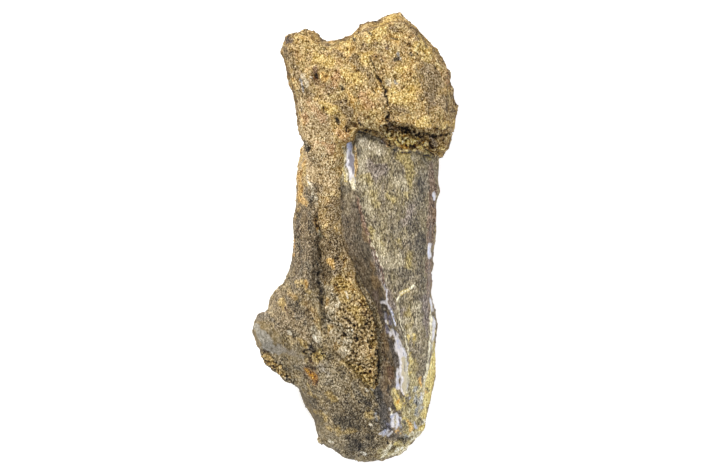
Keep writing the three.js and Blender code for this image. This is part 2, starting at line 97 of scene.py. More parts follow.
# Painted in this order: broad tints of the surface first, then stains, worn lines, chips and gaps. Some
# strokes are painted shade or painted highlights, as noted at each.
STAINS = {
    "tan_dust": Stain("#a48f6a", 0.7, 0.9, [
        [(-5.3, 13.02, 2.67), (-4.86, 9.69, 2.67), (-4.63, 5.8, 2), (-4.63, 3.58, 1.11)],
    ]),
    "brown_wash": Stain("#625238", 0.85, 1.4, [
        [(-6.19, 3.58, 0.67), (-5.3, 0.58, 2), (-4.63, -2.76, 2.67), (-6.19, -5.2, 1.33)],
        [(-2.86, 0.13, 0.67), (-2.52, -2.76, 0.89)], [(-4.86, 5.47, 0.56), (-4.63, 1.91, 0.67)],
    ]),
    "bulge_tan": Stain("#78684b", 0.85, 1.2, [
        [(-8.41, -6.98, 1.11), (-7.08, -8.98, 1.78), (-5.63, -10.53, 1.33)],
        [(-5.52, -11.2, 0.89), (-4.63, -13.2, 0.67)],
    ]),
    "grey_brown": Stain("#594b31", 0.7, 1.4, [
        [(-2.3, -17.53, 1.56), (-0.41, -19.42, 2), (0.26, -22.53, 1.56)],
        [(-4.86, -17.53, 0.89), (-3.97, -20.31, 0.89)],
    ]),
    "lower_pale": Stain("#8f8163", 0.6, 1.1, [
        [(-0.63, 4.36, 0.4), (-0.74, 2.8, 0.31)], [(-3.74, -14.98, 1), (-1.74, -17.2, 1)],
        [(-3.41, -20.87, 0.56), (-1.97, -22.98, 0.67)], [(-8.86, -12.53, 0.56), (-6.19, -13.2, 0.56)],
    ]),
    "patch_wash": Stain("#94815c", 0.75, 1.0, [
        [(-0.86, -6.98, 0.89), (-0.19, -9.87, 1.67), (0.26, -13.2, 1.56), (1.37, -15.87, 0.67)],
    ]),
    "violet_wash": Stain("#75665f", 0.6, 0.9, [
        [(1.14, 8.13, 0.56), (2.03, 7.47, 0.78), (3.14, 7.91, 0.56)], [(6.26, 2.8, 0.44), (5.37, 1.69, 0.44)],
        [(7.7, -6.98, 0.33), (7.92, -9.42, 0.33)], [(5.14, -8.31, 0.33), (5.81, -9.87, 0.33)],
    ]),
    "olive_wash": Stain("#95823e", 0.75, 0.8, [
        [(5.26, 8.8, 0.44), (6.03, 7.24, 0.56), (6.14, 5.69, 0.44)], [(5.59, 4.8, 0.33), (5.37, 3.69, 0.33)],
        [(3.59, 4.69, 0.33), (4.37, 4.13, 0.33)], [(1.37, 5.24, 0.44), (2.26, 3.69, 0.44)],
        [(4.7, -0.31, 0.44), (6.03, -2.76, 0.44)], [(6.48, -10.98, 0.33), (6.48, -14.76, 0.38)],
        [(5.37, -8.31, 0.33), (6.03, -10.31, 0.33)], [(1.81, 0.58, 0.33), (3.14, -1.64, 0.33)],
        [(8.48, 3.24, 0.18), (8.26, 0.13, 0.18)], [(0.92, 6.8, 0.33), (1.37, 5.91, 0.33)],
        [(7.81, 9.47, 0.44), (8.26, 8.58, 0.33)], [(-5.52, -12.76, 0.27), (-3.86, -13.09, 0.31)],
    ]),
    "dusk_wash": Stain("#483e2b", 0.7, 0.8, [
        [(7.26, 7.24, 0.38), (7.48, 5.24, 0.49), (7.14, 3.47, 0.38)],
        [(6.81, 1.69, 0.44), (7.26, -1.42, 0.67), (7.48, -4.76, 0.44)],
        [(4.7, -3.42, 0.29), (6.03, -4.31, 0.33)], [(7.37, 6.8, 0.33), (7.7, 3.47, 0.38)],
        [(5.92, 1.69, 0.22), (6.14, -0.98, 0.27)], [(7.14, -6.98, 0.29), (7.37, -9.42, 0.29)],
        [(5.37, 2.47, 0.29), (4.92, 1.02, 0.33)], [(1.37, 11.13, 0.22), (3.37, 10.69, 0.27)],
        [(0.37, 1.47, 0.33), (0.7, -0.31, 0.67), (1.59, -2.76, 0.78), (2.26, -4.98, 0.67)],
        [(4.03, 5.02, 0.22), (4.37, 4.58, 0.22)], [(-7.3, -6.98, 0.56), (-6.19, -8.31, 0.56)],
        [(7.7, 8.58, 0.27), (8.03, 7.24, 0.27)], [(-1.97, -20.09, 0.67), (-0.41, -20.76, 0.67)],
        [(-0.63, -22.53, 0.56), (0.92, -23.2, 0.56)], [(2.03, -19.2, 0.44), (2.26, -20.98, 0.44)],
        [(-3.74, -16.31, 0.44), (-2.63, -16.09, 0.33)],
    ]),
    "tip_sheen": Stain("#b0a16c", 0.85, 0.8, [
        [(4.7, -17.2, 0.33), (5.26, -18.76, 0.56), (5.81, -20.98, 0.67)],
        [(6.92, -17.2, 0.67), (6.92, -19.42, 0.78), (6.48, -21.2, 0.67), (5.37, -22.53, 0.56)],
        [(6.26, -14.98, 0.44), (6.7, -16.31, 0.56)],
        [(5.48, -22.87, 0.56), (4.48, -23.64, 0.78), (3.37, -24.31, 0.67)],
    ]),
    "pale_wash": Stain("#aea282", 0.7, 1.0, [
        [(0.7, 10.36, 0.44), (2.03, 9.69, 0.67), (2.92, 9.24, 0.44)],
        [(1.92, 0.13, 0.33), (3.03, -1.42, 0.44), (3.92, -2.76, 0.44)],
        [(0.7, 8.58, 0.33), (1.14, 5.91, 0.44), (1.81, 3.02, 0.44)], [(1.48, 5.24, 0.28), (1.14, 3.47, 0.28)],
        [(4.37, -1.64, 0.56), (5.14, -2.76, 0.44)], [(5.59, -8.98, 0.44), (6.26, -10.76, 0.44)],
        [(6.7, -7.64, 0.44), (7.14, -11.2, 0.56)], [(4.92, 6.58, 0.22), (5.48, 5.69, 0.22)],
        [(4.14, 7.24, 0.18), (4.7, 6.13, 0.22)],
    ]),
    # Grey sand, and painted shade on the cap's left and right facets, which face away from the light.
    "grey_sand_and_facet_shade": Stain("#756243", 0.75, 0.8, [
        [(8.26, 18.36, 0.89), (8.7, 16.8, 1.11), (8.03, 15.58, 0.89)],
        [(9.37, 14.8, 0.78), (10.03, 13.91, 0.56)], [(-0.41, 13.69, 0.5), (-0.74, 12.58, 0.44)],
        [(3.59, 23.02, 0.44), (4.92, 22.69, 0.4)],
        [(-7.63, 20.8, 0.44), (-6.63, 18.36, 0.44), (-5.74, 16.58, 0.44), (-4.86, 15.24, 0.44)],
        [(-1.3, 19.69, 0.44), (-1.97, 20.58, 0.33)], [(1.81, 17.69, 0.33), (1.59, 16.58, 0.33)],
        [(5.81, 13.8, 0.4), (4.7, 14.02, 0.44)], [(0.92, 23.91, 0.33), (2.7, 24.13, 0.29)],
        [(-1.74, 14.58, 0.44), (-0.63, 14.13, 0.56)], [(10.14, 12.02, 0.27), (9.14, 12.24, 0.22)],
        [(0.03, 19.69, 0.4), (0.48, 18.8, 0.33)], [(-3.74, 21.69, 0.33), (-2.86, 21.24, 0.33)],
        [(3.37, 15.69, 0.22), (3.14, 14.8, 0.29)],
        [(-2.86, 5.69, 0.33), (-2.41, 4.13, 0.44), (-2.52, 2.58, 0.44), (-2.74, 0.8, 0.56)],
        [(-1.74, -0.09, 0.33), (-1.08, -1.87, 0.44), (-0.41, -3.31, 0.33)],
    ]),
    "golden_sand": Stain("#d3b465", 0.52, 0.8, [
        [(4.26, 15.47, 0.56), (5.37, 15.02, 0.67), (6.26, 15.69, 0.44)],
        [(9.81, 12.36, 0.38), (10.48, 12.69, 0.49)], [(4.7, 18.36, 0.27), (5.59, 18.58, 0.27)],
        [(-4.19, 19.69, 0.44), (-2.86, 19.24, 0.44)], [(1.59, 21.69, 0.67), (3.81, 24.13, 0.67)],
        [(0.03, 22.13, 0.49), (-1.08, 21.24, 0.44)], [(6.92, 12.58, 0.29), (8.48, 12.36, 0.29)],
        [(7.14, 21.24, 0.56), (8.26, 19.91, 0.44)], [(-1.08, 17.91, 0.56), (0.48, 16.8, 0.56)],
        [(-3.74, 14.8, 0.38), (-2.41, 13.91, 0.44)], [(-6.19, 13.47, 0.29), (-5.52, 12.36, 0.29)],
        [(1.14, 19.47, 0.33), (1.81, 20.36, 0.33)], [(-6.41, 9.02, 0.22), (-6.3, 4.58, 0.33)],
    ]),
    "pink_sand": Stain("#ad8258", 0.5, 0.7, [
        [(-1.74, 18.36, 0.44), (-2.41, 16.8, 0.44)],
        [(-5.3, 14.8, 0.33), (-4.19, 13.69, 0.56), (-3.52, 13.13, 0.44)],
        [(-5.52, 13.24, 0.33), (-4.86, 11.69, 0.33)], [(9.59, 18.13, 0.33), (10.14, 17.24, 0.33)],
        [(-1.74, 22.36, 0.33), (-0.86, 22.58, 0.27)], [(-4.74, 17.91, 0.27), (-4.41, 17.47, 0.27)],
        [(-1.63, 11.47, 0.33), (-1.08, 11.02, 0.33)], [(4.26, 12.24, 0.27), (4.81, 11.91, 0.27)],
        [(0.7, 15.47, 0.44), (1.37, 14.36, 0.44)], [(-4.19, 10.58, 0.44), (-2.86, 9.69, 0.56)],
    ]),
    "orange_stain": Stain("#b18a42", 0.78, 0.36, [
        [(-3.86, 18.02, 0.24), (-3.3, 17.47, 0.29)], [(-0.74, 16.13, 0.2), (-0.19, 14.58, 0.22)],
        [(-0.86, 11.69, 0.18), (-0.41, 10.8, 0.18)],
        [(-5.74, 8.8, 0.24), (-5.97, 7.24, 0.31), (-6.19, 5.91, 0.29), (-6.3, 4.8, 0.33)],
        [(-6.3, 4.13, 0.44), (-5.63, 3.91, 0.38)], [(-6.3, 11.47, 0.17), (-6.08, 9.69, 0.17)],
        [(10.03, 12.36, 0.16), (10.48, 12.69, 0.18)], [(-0.41, 15.47, 0.2), (0.03, 15.02, 0.2)],
        [(-6.72, -0.31, 0.08), (-6.81, -2.09, 0.09)], [(-4.19, 1.69, 0.2), (-3.97, 0.8, 0.18)],
        [(-2.86, -2.53, 0.22), (-2.3, -3.31, 0.22)], [(-5.52, -4.87, 0.18), (-5.41, -5.53, 0.13)],
        [(-0.01, 10.02, 0.07), (0.1, 8.58, 0.09), (0.08, 6.8, 0.08)],
        [(3.26, -11.42, 0.11), (3.41, -13.2, 0.13)],
    ]),
    "ochre_stain": Stain("#a98f4f", 0.7, 0.6, [
        [(-9.52, -6.98, 0.33), (-8.86, -6.09, 0.33)], [(-8.41, -6.98, 0.33), (-7.52, -7.87, 0.33)],
        [(-6.19, -10.98, 0.33), (-5.3, -12.09, 0.33)], [(-4.52, -12.87, 0.22), (-3.74, -13.31, 0.27)],
        [(-5.97, -4.98, 0.33), (-5.08, -6.09, 0.33)], [(-3.08, -17.2, 0.27), (-2.3, -18.09, 0.27)],
        [(1.37, -16.76, 0.33), (2.03, -17.31, 0.28)], [(-1.63, -6.87, 0.38), (-0.86, -6.53, 0.33)],
        [(-1.63, -4.64, 0.38), (-0.97, -5.2, 0.38)], [(-0.41, -7.87, 0.44), (0.7, -9.2, 0.44)],
        [(-1.08, -13.87, 0.56), (0.7, -14.98, 0.56), (1.59, -16.09, 0.33)],
        [(2.03, -11.42, 0.22), (2.03, -12.76, 0.22)], [(-4.19, -19.42, 0.28), (-3.52, -20.09, 0.28)],
        [(-5.3, -16.31, 0.22), (-4.41, -17.64, 0.33)],
        [(-2.74, -21.2, 0.24), (-1.19, -21.64, 0.27), (0.26, -21.42, 0.24)],
        [(1.81, -24.09, 0.27), (2.48, -24.42, 0.22)], [(-5.41, 7.69, 0.22), (-5.19, 5.69, 0.22)],
        [(1.37, -19.42, 0.22), (1.7, -20.09, 0.22)], [(-7.97, -7.87, 0.18), (-7.63, -8.53, 0.18)],
        [(-4.19, -13.53, 0.16), (-4.08, -14.09, 0.13)], [(-5.52, -13.31, 0.16), (-5.19, -13.53, 0.13)],
    ]),
    "crust_gold": Stain("#ae9154", 0.9, 0.35, [
        [(-10.3, -12.87, 0.24), (-9.74, -13.42, 0.38), (-8.97, -14.31, 0.4), (-8.08, -15.09, 0.33),
         (-7.52, -15.53, 0.18)],
    ]),
    "pale_grey": Stain("#b3a78c", 0.8, 0.5, [
        [(0.81, 10.47, 0.38), (1.81, 9.91, 0.56), (2.7, 9.58, 0.4)],
        [(-2.86, -5.64, 0.44), (-2.3, -7.42, 0.56), (-2.74, -9.42, 0.44)],
        [(-4.86, -10.09, 0.44), (-4.19, -11.2, 0.44)], [(-0.63, -10.53, 0.56), (-1.08, -12.31, 0.56)],
        [(3.37, 17.02, 0.29), (3.92, 16.13, 0.22)], [(-5.08, 6.36, 0.33), (-4.41, 4.13, 0.33)],
        [(-5.63, 17.69, 0.18), (-5.3, 16.24, 0.2)], [(-2.19, -8.98, 0.44), (-1.97, -11.42, 0.44)],
    ]),
    "knob_grey": Stain("#908c81", 0.85, 0.6, [
        [(-10.86, -10.09, 0.33), (-10.19, -11.2, 0.72), (-9.3, -12.09, 0.67), (-7.97, -12.53, 0.44)],
    ]),
    "knob_brown": Stain("#6c614f", 0.8, 0.35, [
        [(-10.86, -8.98, 0.33), (-9.74, -8.64, 0.44), (-9.08, -9.2, 0.33)],
    ]),
    "ridge_violet": Stain("#857c6d", 0.75, 0.6, [
        [(-8.86, -12.09, 0.44), (-7.52, -12.53, 0.44), (-5.74, -13.31, 0.33)],
        [(-3.74, -14.31, 0.44), (-2.86, -15.2, 0.44)],
    ]),
    # Dark smudges, and painted shade in the groove down the left column.
    "smudge_and_groove_shade": Stain("#483f2c", 0.75, 0.5, [
        [(-1.97, 5.24, 0.33), (-0.86, 5.24, 0.39)], [(1.03, -18.09, 0.44), (1.7, -18.76, 0.44)],
        [(-1.97, -20.31, 0.33), (-1.08, -20.76, 0.33)], [(-0.41, -23.2, 0.44), (0.92, -23.64, 0.44)],
        [(1.26, -21.98, 0.29), (1.81, -22.31, 0.29)],
        [(-4.74, -17.87, 0.22), (-3.74, -19.87, 0.22), (-3.3, -21.42, 0.22)],
        [(-4.19, -2.76, 0.22), (-3.79, -3.64, 0.24), (-4.08, -4.64, 0.24), (-3.68, -5.64, 0.27),
         (-3.9, -6.64, 0.24), (-3.52, -7.42, 0.27)],
        [(-3.19, -8.31, 0.22), (-2.74, -9.42, 0.22)], [(-5.52, 10.47, 0.22), (-5.19, 9.02, 0.24)],
        [(-5.3, 5.69, 0.22), (-4.86, 4.13, 0.27)], [(-5.97, -1.42, 0.22), (-5.86, -4.2, 0.22)],
        [(-6.52, 2.58, 0.22), (-6.3, -0.98, 0.22)], [(-5.52, -12.98, 0.22), (-4.74, -13.42, 0.24)],
        [(-6.41, -8.98, 0.22), (-5.52, -9.42, 0.22)], [(-7.52, -10.31, 0.22), (-6.41, -10.76, 0.22)],
        [(-5.08, 2.58, 0.22), (-4.86, 0.58, 0.22)], [(-8.97, -8.98, 0.22), (-8.52, -9.87, 0.22)],
        [(-6.19, -6.53, 0.22), (-6.63, -7.64, 0.22)], [(-5.3, -2.76, 0.22), (-5.08, -5.2, 0.22)],
        [(7.14, 6.36, 0.29), (7.26, 4.47, 0.31)], [(7.26, 0.58, 0.27), (7.37, -2.09, 0.31)],
        [(6.81, -0.09, 0.11), (6.7, -1.42, 0.11)], [(0.26, -21.09, 0.22), (0.7, -21.42, 0.22)],
        [(-0.08, -16.42, 0.33), (0.7, -17.64, 0.33)], [(-5.19, -11.87, 0.18), (-4.41, -12.31, 0.18)],
    ]),
    "ledge_shade": Stain("#a08248", 0.8, 0.4, [
        [(3.59, 12.13, 0.29), (5.14, 11.69, 0.44), (6.92, 11.13, 0.44), (8.7, 10.58, 0.44),
         (9.7, 10.13, 0.4)],
        [(4.03, 10.58, 0.44), (5.37, 9.91, 0.44)], [(6.26, 10.02, 0.33), (7.59, 9.69, 0.38)],
        [(8.92, 9.69, 0.33), (9.48, 9.13, 0.22)],
    ]),
    "ledge_bone": Stain("#918069", 0.85, 0.4, [
        [(8.37, 10.91, 0.29), (9.03, 10.24, 0.38)], [(3.7, 12.36, 0.2), (4.48, 11.91, 0.33)],
        [(10.59, 11.91, 0.09), (10.48, 10.58, 0.11), (10.03, 9.47, 0.09)],
    ]),
    "ledge_gold": Stain("#ffe08e", 0.95, 0.2, [
        [(3.81, 11.13, 0.19), (4.03, 10.69, 0.16)], [(4.48, 10.42, 0.19), (4.77, 10.13, 0.15)],
        [(4.92, 10.91, 0.21), (5.26, 10.58, 0.2)], [(5.43, 9.8, 0.17), (5.7, 9.47, 0.15)],
        [(5.48, 11.13, 0.13), (5.7, 10.8, 0.17)], [(5.88, 10.47, 0.24), (6.26, 10.24, 0.19)],
        [(6.26, 10.73, 0.21), (6.66, 10.47, 0.2)], [(6.81, 10.91, 0.12), (6.99, 10.69, 0.13)],
        [(7.14, 10.02, 0.17), (7.48, 9.8, 0.13)], [(4.54, 11.47, 0.13), (4.92, 11.31, 0.15)],
        [(6.41, 9.73, 0.15), (6.7, 9.58, 0.13)], [(3.97, 10.02, 0.15), (4.26, 9.8, 0.16)],
        [(4.7, 9.69, 0.13), (5.03, 9.51, 0.13)], [(5.37, 10.24, 0.13), (5.54, 10.09, 0.12)],
        [(6.03, 11.49, 0.09), (6.37, 11.31, 0.12)], [(7.7, 10.29, 0.11), (7.92, 10.09, 0.12)],
        [(9.37, 10.02, 0.07), (9.81, 10.4, 0.07)], [(9.43, 9.69, 0.07), (9.92, 10.09, 0.07)],
        [(9.48, 9.36, 0.07), (9.92, 9.73, 0.07)], [(7.03, 10.4, 0.11), (7.26, 10.24, 0.11)],
    ]),
    "ledge_ochre": Stain("#d6a243", 0.85, 0.25, [
        [(4.1, 10.96, 0.13), (4.32, 10.69, 0.13)], [(5.1, 10.13, 0.15), (5.26, 9.96, 0.13)],
        [(5.66, 10.02, 0.13), (5.99, 9.8, 0.14)], [(6.48, 10.09, 0.15), (6.88, 9.96, 0.14)],
        [(4.37, 11.07, 0.13), (4.59, 10.87, 0.13)], [(5.32, 11.4, 0.13), (5.7, 11.29, 0.13)],
        [(7.37, 10.47, 0.13), (7.59, 10.36, 0.13)], [(8.1, 9.8, 0.13), (8.48, 9.47, 0.13)],
        [(3.48, 10.58, 0.13), (3.59, 10.02, 0.13)],
    ]),
    "purple_band": Stain("#6b5c53", 0.75, 0.35, [
        [(2.03, -1.87, 0.22), (2.81, -3.87, 0.33), (3.59, -6.09, 0.39), (4.03, -7.64, 0.33)],
        [(3.14, 10.58, 0.27), (3.59, 10.13, 0.27)], [(-8.08, 22.13, 0.28), (-7.08, 21.69, 0.33)],
        [(7.92, -6.53, 0.18), (7.92, -10.98, 0.22)], [(2.14, -6.09, 0.22), (2.7, -8.31, 0.22)],
        [(3.59, 20.8, 0.18), (3.92, 20.47, 0.18)],
    ]),
    "stained_face": Stain("#7a6340", 0.75, 0.7, [
        [(3.03, -10.76, 0.27), (3.14, -12.53, 0.33), (3.37, -14.76, 0.33), (3.26, -16.76, 0.29)],
        [(1.7, -2.76, 0.24), (2.37, -5.42, 0.27)], [(0.92, 1.24, 0.18), (1.37, -0.31, 0.22)],
    ]),
    "dark_wedge": Stain("#49433f", 0.85, 0.3, [
        [(3.7, -11.2, 0.11), (4.14, -12.09, 0.27), (4.48, -13.42, 0.29), (4.59, -14.31, 0.16)],
    ]),
    "face_foot": Stain("#353230", 0.8, 0.7, [
        [(2.37, -17.2, 0.38), (2.7, -18.98, 0.6), (3.14, -20.31, 0.67), (3.26, -21.2, 0.49)],
        [(3.14, -6.98, 0.29), (3.14, -9.2, 0.24)],
    ]),
    "rim_brown": Stain("#644a33", 0.9, 0.4, [
        [(8.54, 8.13, 0.24), (8.54, 3.47, 0.36), (8.3, 0.13, 0.33), (8.21, -2.76, 0.31), (8.32, -5.87, 0.29),
         (8.37, -8.31, 0.18)],
        [(3.7, -14.53, 0.16), (4.03, -15.53, 0.2)],
    ]),
    "red_brown": Stain("#5f4029", 0.85, 0.16, [
        [(0.17, 4.58, 0.09), (0.54, 3.24, 0.18), (0.92, 1.69, 0.24), (1.37, 0.36, 0.22)],
        [(1.54, -0.31, 0.17), (2.14, -1.76, 0.16), (2.7, -3.09, 0.12), (3.14, -4.53, 0.11),
         (3.43, -6.31, 0.09)],
        [(7.7, -2.76, 0.11), (8.03, -5.31, 0.11)], [(-4.41, 18.58, 0.22), (-4.08, 17.8, 0.16)],
        [(6.92, -19.42, 0.09), (7.26, -20.09, 0.1)], [(-7.63, -7.87, 0.11), (-7.41, -8.42, 0.11)],
    ]),
    "yellow_dentine": Stain("#d6bf70", 0.95, 0.3, [
        [(8.77, -10.31, 0.22), (8.7, -13.64, 0.4), (8.43, -15.64, 0.47)],
        [(8.32, -15.87, 0.44), (8.08, -17.64, 0.44), (7.92, -18.76, 0.33)],
        [(7.77, -19.09, 0.27), (7.59, -20.31, 0.27), (7.14, -21.42, 0.22)],
        [(4.37, -16.98, 0.18), (4.7, -17.53, 0.16)], [(4.37, -17.87, 0.11), (4.54, -18.87, 0.13)],
        [(5.43, -17.76, 0.14), (5.48, -18.87, 0.16)], [(4.92, -18.53, 0.13), (5.1, -18.98, 0.11)],
        [(5.26, -16.87, 0.13), (5.7, -17.42, 0.13)], [(5.37, -19.42, 0.2), (5.54, -20.09, 0.19)],
        [(5.81, -10.87, 0.11), (5.88, -11.53, 0.13)], [(6.54, -10.76, 0.11), (6.59, -11.31, 0.13)],
        [(6.03, -12.76, 0.11), (6.14, -14.98, 0.13)], [(7.14, -21.09, 0.18), (7.66, -21.2, 0.18)],
        [(7.26, -21.53, 0.13), (6.81, -21.98, 0.11)], [(5.37, -21.53, 0.16), (5.92, -21.76, 0.13)],
        [(4.03, -23.2, 0.11), (4.59, -22.64, 0.11)],
        [(-1.34, 9.02, 0.09), (-1.3, 7.47, 0.11), (-1.03, 6.24, 0.11)],
        [(5.81, -5.87, 0.18), (5.14, -6.2, 0.18)], [(6.03, -18.53, 0.11), (6.21, -17.76, 0.11)],
    ]),
    "tip_gold": Stain("#dfa844", 0.85, 0.3, [
        [(5.88, -20.36, 0.22), (6.03, -20.87, 0.27), (6.19, -21.42, 0.27)],
        [(7.14, -15.64, 0.14), (7.26, -16.53, 0.11)], [(7.59, -16.53, 0.09), (7.81, -17.2, 0.11)],
        [(4.7, -21.31, 0.08), (4.99, -21.76, 0.09)], [(4.48, -21.42, 0.06), (4.59, -21.87, 0.07)],
        [(4.59, -18.31, 0.11), (4.81, -17.98, 0.11)],
    ]),
    "cream_line": Stain("#dcd2b0", 0.95, 0.12, [
        [(6.7, -4.98, 0.06), (6.26, -5.53, 0.1), (5.59, -5.98, 0.1), (4.92, -6.31, 0.1), (4.68, -6.87, 0.11),
         (4.74, -7.87, 0.08), (5.03, -9.42, 0.07), (5.48, -11.09, 0.08), (5.92, -12.76, 0.08)],
        [(8.32, -7.64, 0.13), (8.37, -9.42, 0.13), (8.26, -11.42, 0.11), (8.1, -13.42, 0.12),
         (7.88, -14.98, 0.16), (7.59, -16.76, 0.14)],
        [(2.99, -24.53, 0.18), (3.48, -23.76, 0.24), (4.03, -23.04, 0.18)],
        [(3.77, -24.53, 0.19), (4.41, -23.69, 0.23), (5.03, -23.04, 0.17)],
        [(4.37, -24.49, 0.16), (5.1, -23.64, 0.18), (5.74, -23.02, 0.16)],
        [(6.03, -22.42, 0.2), (6.59, -22.13, 0.24), (7.03, -21.91, 0.16)],
        [(6.26, -21.64, 0.13), (5.81, -21.98, 0.11)], [(-0.41, 6.13, 0.18), (-0.08, 5.24, 0.11)],
        [(-3.91, 0.69, 0.14), (-3.69, 0.02, 0.16)], [(6.26, -18.31, 0.07), (5.99, -19.31, 0.08)],
        [(7.59, -16.98, 0.1), (7.43, -18.09, 0.1)], [(7.59, -20.09, 0.11), (7.26, -20.76, 0.11)],
        [(3.92, -19.09, 0.09), (4.03, -19.64, 0.08)],
    ]),
    "blue_grey": Stain("#888c90", 0.75, 0.25, [
        [(-6.08, 17.24, 0.11), (-5.86, 16.13, 0.13)], [(6.66, -16.64, 0.22), (6.59, -18.09, 0.27)],
        [(6.92, -18.42, 0.22), (6.74, -19.76, 0.24)], [(7.21, -17.64, 0.09), (7.3, -19.2, 0.09)],
        [(2.26, -19.2, 0.04), (2.37, -20.31, 0.04)], [(4.59, 20.02, 0.11), (5.14, 19.47, 0.13)],
        [(3.77, -8.2, 0.11), (3.92, -8.98, 0.12), (4.14, -9.76, 0.12)],
        [(4.26, 17.36, 0.09), (4.48, 16.8, 0.11)], [(8.88, -10.09, 0.13), (8.99, -11.2, 0.14)],
        [(8.32, -11.98, 0.08), (8.3, -13.2, 0.08)], [(3.81, -18.53, 0.09), (3.59, -19.42, 0.09)],
        [(5.26, -22.2, 0.09), (5.7, -21.93, 0.09)], [(8.7, 12.47, 0.1), (8.77, 12.24, 0.1)],
    ]),
    # Pale chips and stripes where the enamel's skin is worn off; the short white strokes along the crown's
    # right rim are painted highlights.
    "bare_enamel_and_highlight": Stain("#e4e2e6", 1.0, 0.13, [
        [(-0.63, 10.36, 0.07), (-0.63, 9.8, 0.24), (-0.61, 8.8, 0.43), (-0.52, 7.69, 0.42),
         (-0.36, 6.69, 0.27), (-0.13, 6.02, 0.12)],
        [(3.32, -5.2, 0.03), (3.46, -6.09, 0.06), (3.48, -6.87, 0.08)],
        [(2.88, -7.2, 0.16), (3.37, -7.04, 0.18)], [(3.48, -7.31, 0.16), (3.63, -7.87, 0.13)],
        [(3.48, -9.87, 0.13), (3.81, -10.76, 0.16)], [(3.21, -8.31, 0.09), (3.37, -9.42, 0.11)],
        [(3.99, -10.2, 0.16), (4.48, -10.76, 0.33)],
        [(4.54, -11.2, 0.33), (4.81, -12.09, 0.47), (5.21, -12.98, 0.56)],
        [(5.32, -13.64, 0.51), (5.39, -15.2, 0.5), (5.39, -16.76, 0.4)],
        [(4.66, -14.64, 0.13), (4.61, -16.64, 0.22)], [(8.74, 4.91, 0.13), (8.81, 4.24, 0.19)],
        [(8.32, -0.76, 0.2), (8.32, -2.2, 0.24)], [(8.46, -6.76, 0.13), (8.59, -8.09, 0.2)],
        [(8.74, -8.98, 0.2), (8.81, -11.42, 0.22)], [(2.81, -21.76, 0.09), (3.26, -21.31, 0.13)],
        [(3.14, -21.98, 0.1), (3.7, -21.38, 0.11)], [(3.59, -21.98, 0.09), (4.03, -21.64, 0.09)],
        [(3.3, -20.38, 0.09), (3.32, -20.47, 0.09)], [(3.7, -18.98, 0.07), (3.81, -19.2, 0.07)],
        [(4.21, -19.64, 0.18), (4.14, -20.87, 0.2)],
        [(4.59, -19.49, 0.18), (4.66, -20.53, 0.22), (4.48, -21.27, 0.13)],
        [(5.03, -19.98, 0.1), (5.03, -21.09, 0.11)], [(6.59, -20.42, 0.12), (6.66, -21.09, 0.12)],
        [(5.92, -17.53, 0.07), (5.99, -17.76, 0.07)], [(5.26, -17.09, 0.08), (5.37, -17.31, 0.09)],
        [(7.32, -17.2, 0.08), (7.37, -17.87, 0.07)],
    ]),
    "stripe_cream": Stain("#c6bc9c", 0.9, 0.25, [
        [(1.81, -0.76, 0.01), (2.48, -2.2, 0.03), (3.14, -3.76, 0.06), (3.59, -5.31, 0.07)],
        [(5.41, -13.42, 0.33), (5.52, -15.2, 0.4), (5.54, -16.98, 0.33)],
        [(-0.3, 6.47, 0.13), (-0.08, 5.58, 0.1)],
        [(-1.14, 9.69, 0.14), (-1.1, 7.69, 0.19), (-0.86, 6.47, 0.16)],
        [(4.41, -19.76, 0.08), (4.41, -21.09, 0.08)], [(8.77, -11.42, 0.11), (8.77, -12.76, 0.18)],
        [(6.14, -22.31, 0.27), (7.03, -21.64, 0.22)], [(3.03, -23.98, 0.22), (3.92, -22.98, 0.22)],
    ]),
    # A bluish tint in the pale stripes and chips; on the crown's right rim it is part of the painted
    # highlights.
    "blue_tint_and_highlight": Stain("#c3cbea", 0.7, 0.2, [
        [(4.54, -11.53, 0.13), (4.81, -12.31, 0.13)], [(4.7, -15.2, 0.11), (4.66, -16.42, 0.12)],
        [(-0.63, 10.13, 0.11), (-0.58, 9.58, 0.11)], [(2.92, -21.87, 0.07), (3.37, -21.38, 0.08)],
        [(4.03, -19.53, 0.09), (3.99, -20.98, 0.1)], [(4.81, -19.87, 0.07), (4.81, -20.87, 0.07)],
        [(8.77, 4.47, 0.09), (8.81, 4.13, 0.1)], [(8.34, -1.2, 0.13), (8.37, -2.09, 0.13)],
        [(3.7, -7.53, 0.08), (4.03, -8.31, 0.09), (4.48, -9.64, 0.1)],
        [(6.59, -20.64, 0.09), (6.66, -21.09, 0.09)],
    ]),
    "chip_core": Stain("#726f7e", 0.85, 0.12, [
        [(-0.59, 9.47, 0.09), (-0.54, 8.8, 0.23), (-0.46, 7.8, 0.26), (-0.34, 7.02, 0.11)],
        [(3.26, -8.2, 0.13), (3.37, -8.98, 0.18)], [(3.7, -8.76, 0.13), (3.81, -9.64, 0.16)],
        [(3.3, -9.76, 0.16), (3.48, -10.64, 0.16)], [(3.7, -20.76, 0.16), (3.92, -21.31, 0.16)],
        [(5.37, -14.09, 0.09), (5.43, -14.76, 0.09)], [(4.88, -11.87, 0.06), (5.14, -12.64, 0.06)],
        [(4.26, -10.42, 0.08), (4.37, -10.87, 0.08)],
    ]),
    "rust": Stain("#7d520f", 0.93, 0.3, [
        [(-5.46, -14.58, 0.28), (-4.97, -14.93, 0.42), (-4.57, -15.38, 0.48), (-4.43, -16, 0.32)],
    ]),
    "rust_orange": Stain("#c48f22", 0.95, 0.16, [
        [(-5.46, -14.62, 0.12), (-5.12, -14.82, 0.16)],
        [(-4.9, -15.13, 0.16), (-4.59, -15.49, 0.2), (-4.48, -15.76, 0.11)],
        [(-4.52, -14.98, 0.09), (-4.3, -15.38, 0.1)],
    ]),
    "iron_brown": Stain("#553c1c", 0.9, 0.2, [
        [(-4.86, -14.24, 0.11), (-4.41, -14.6, 0.13)],
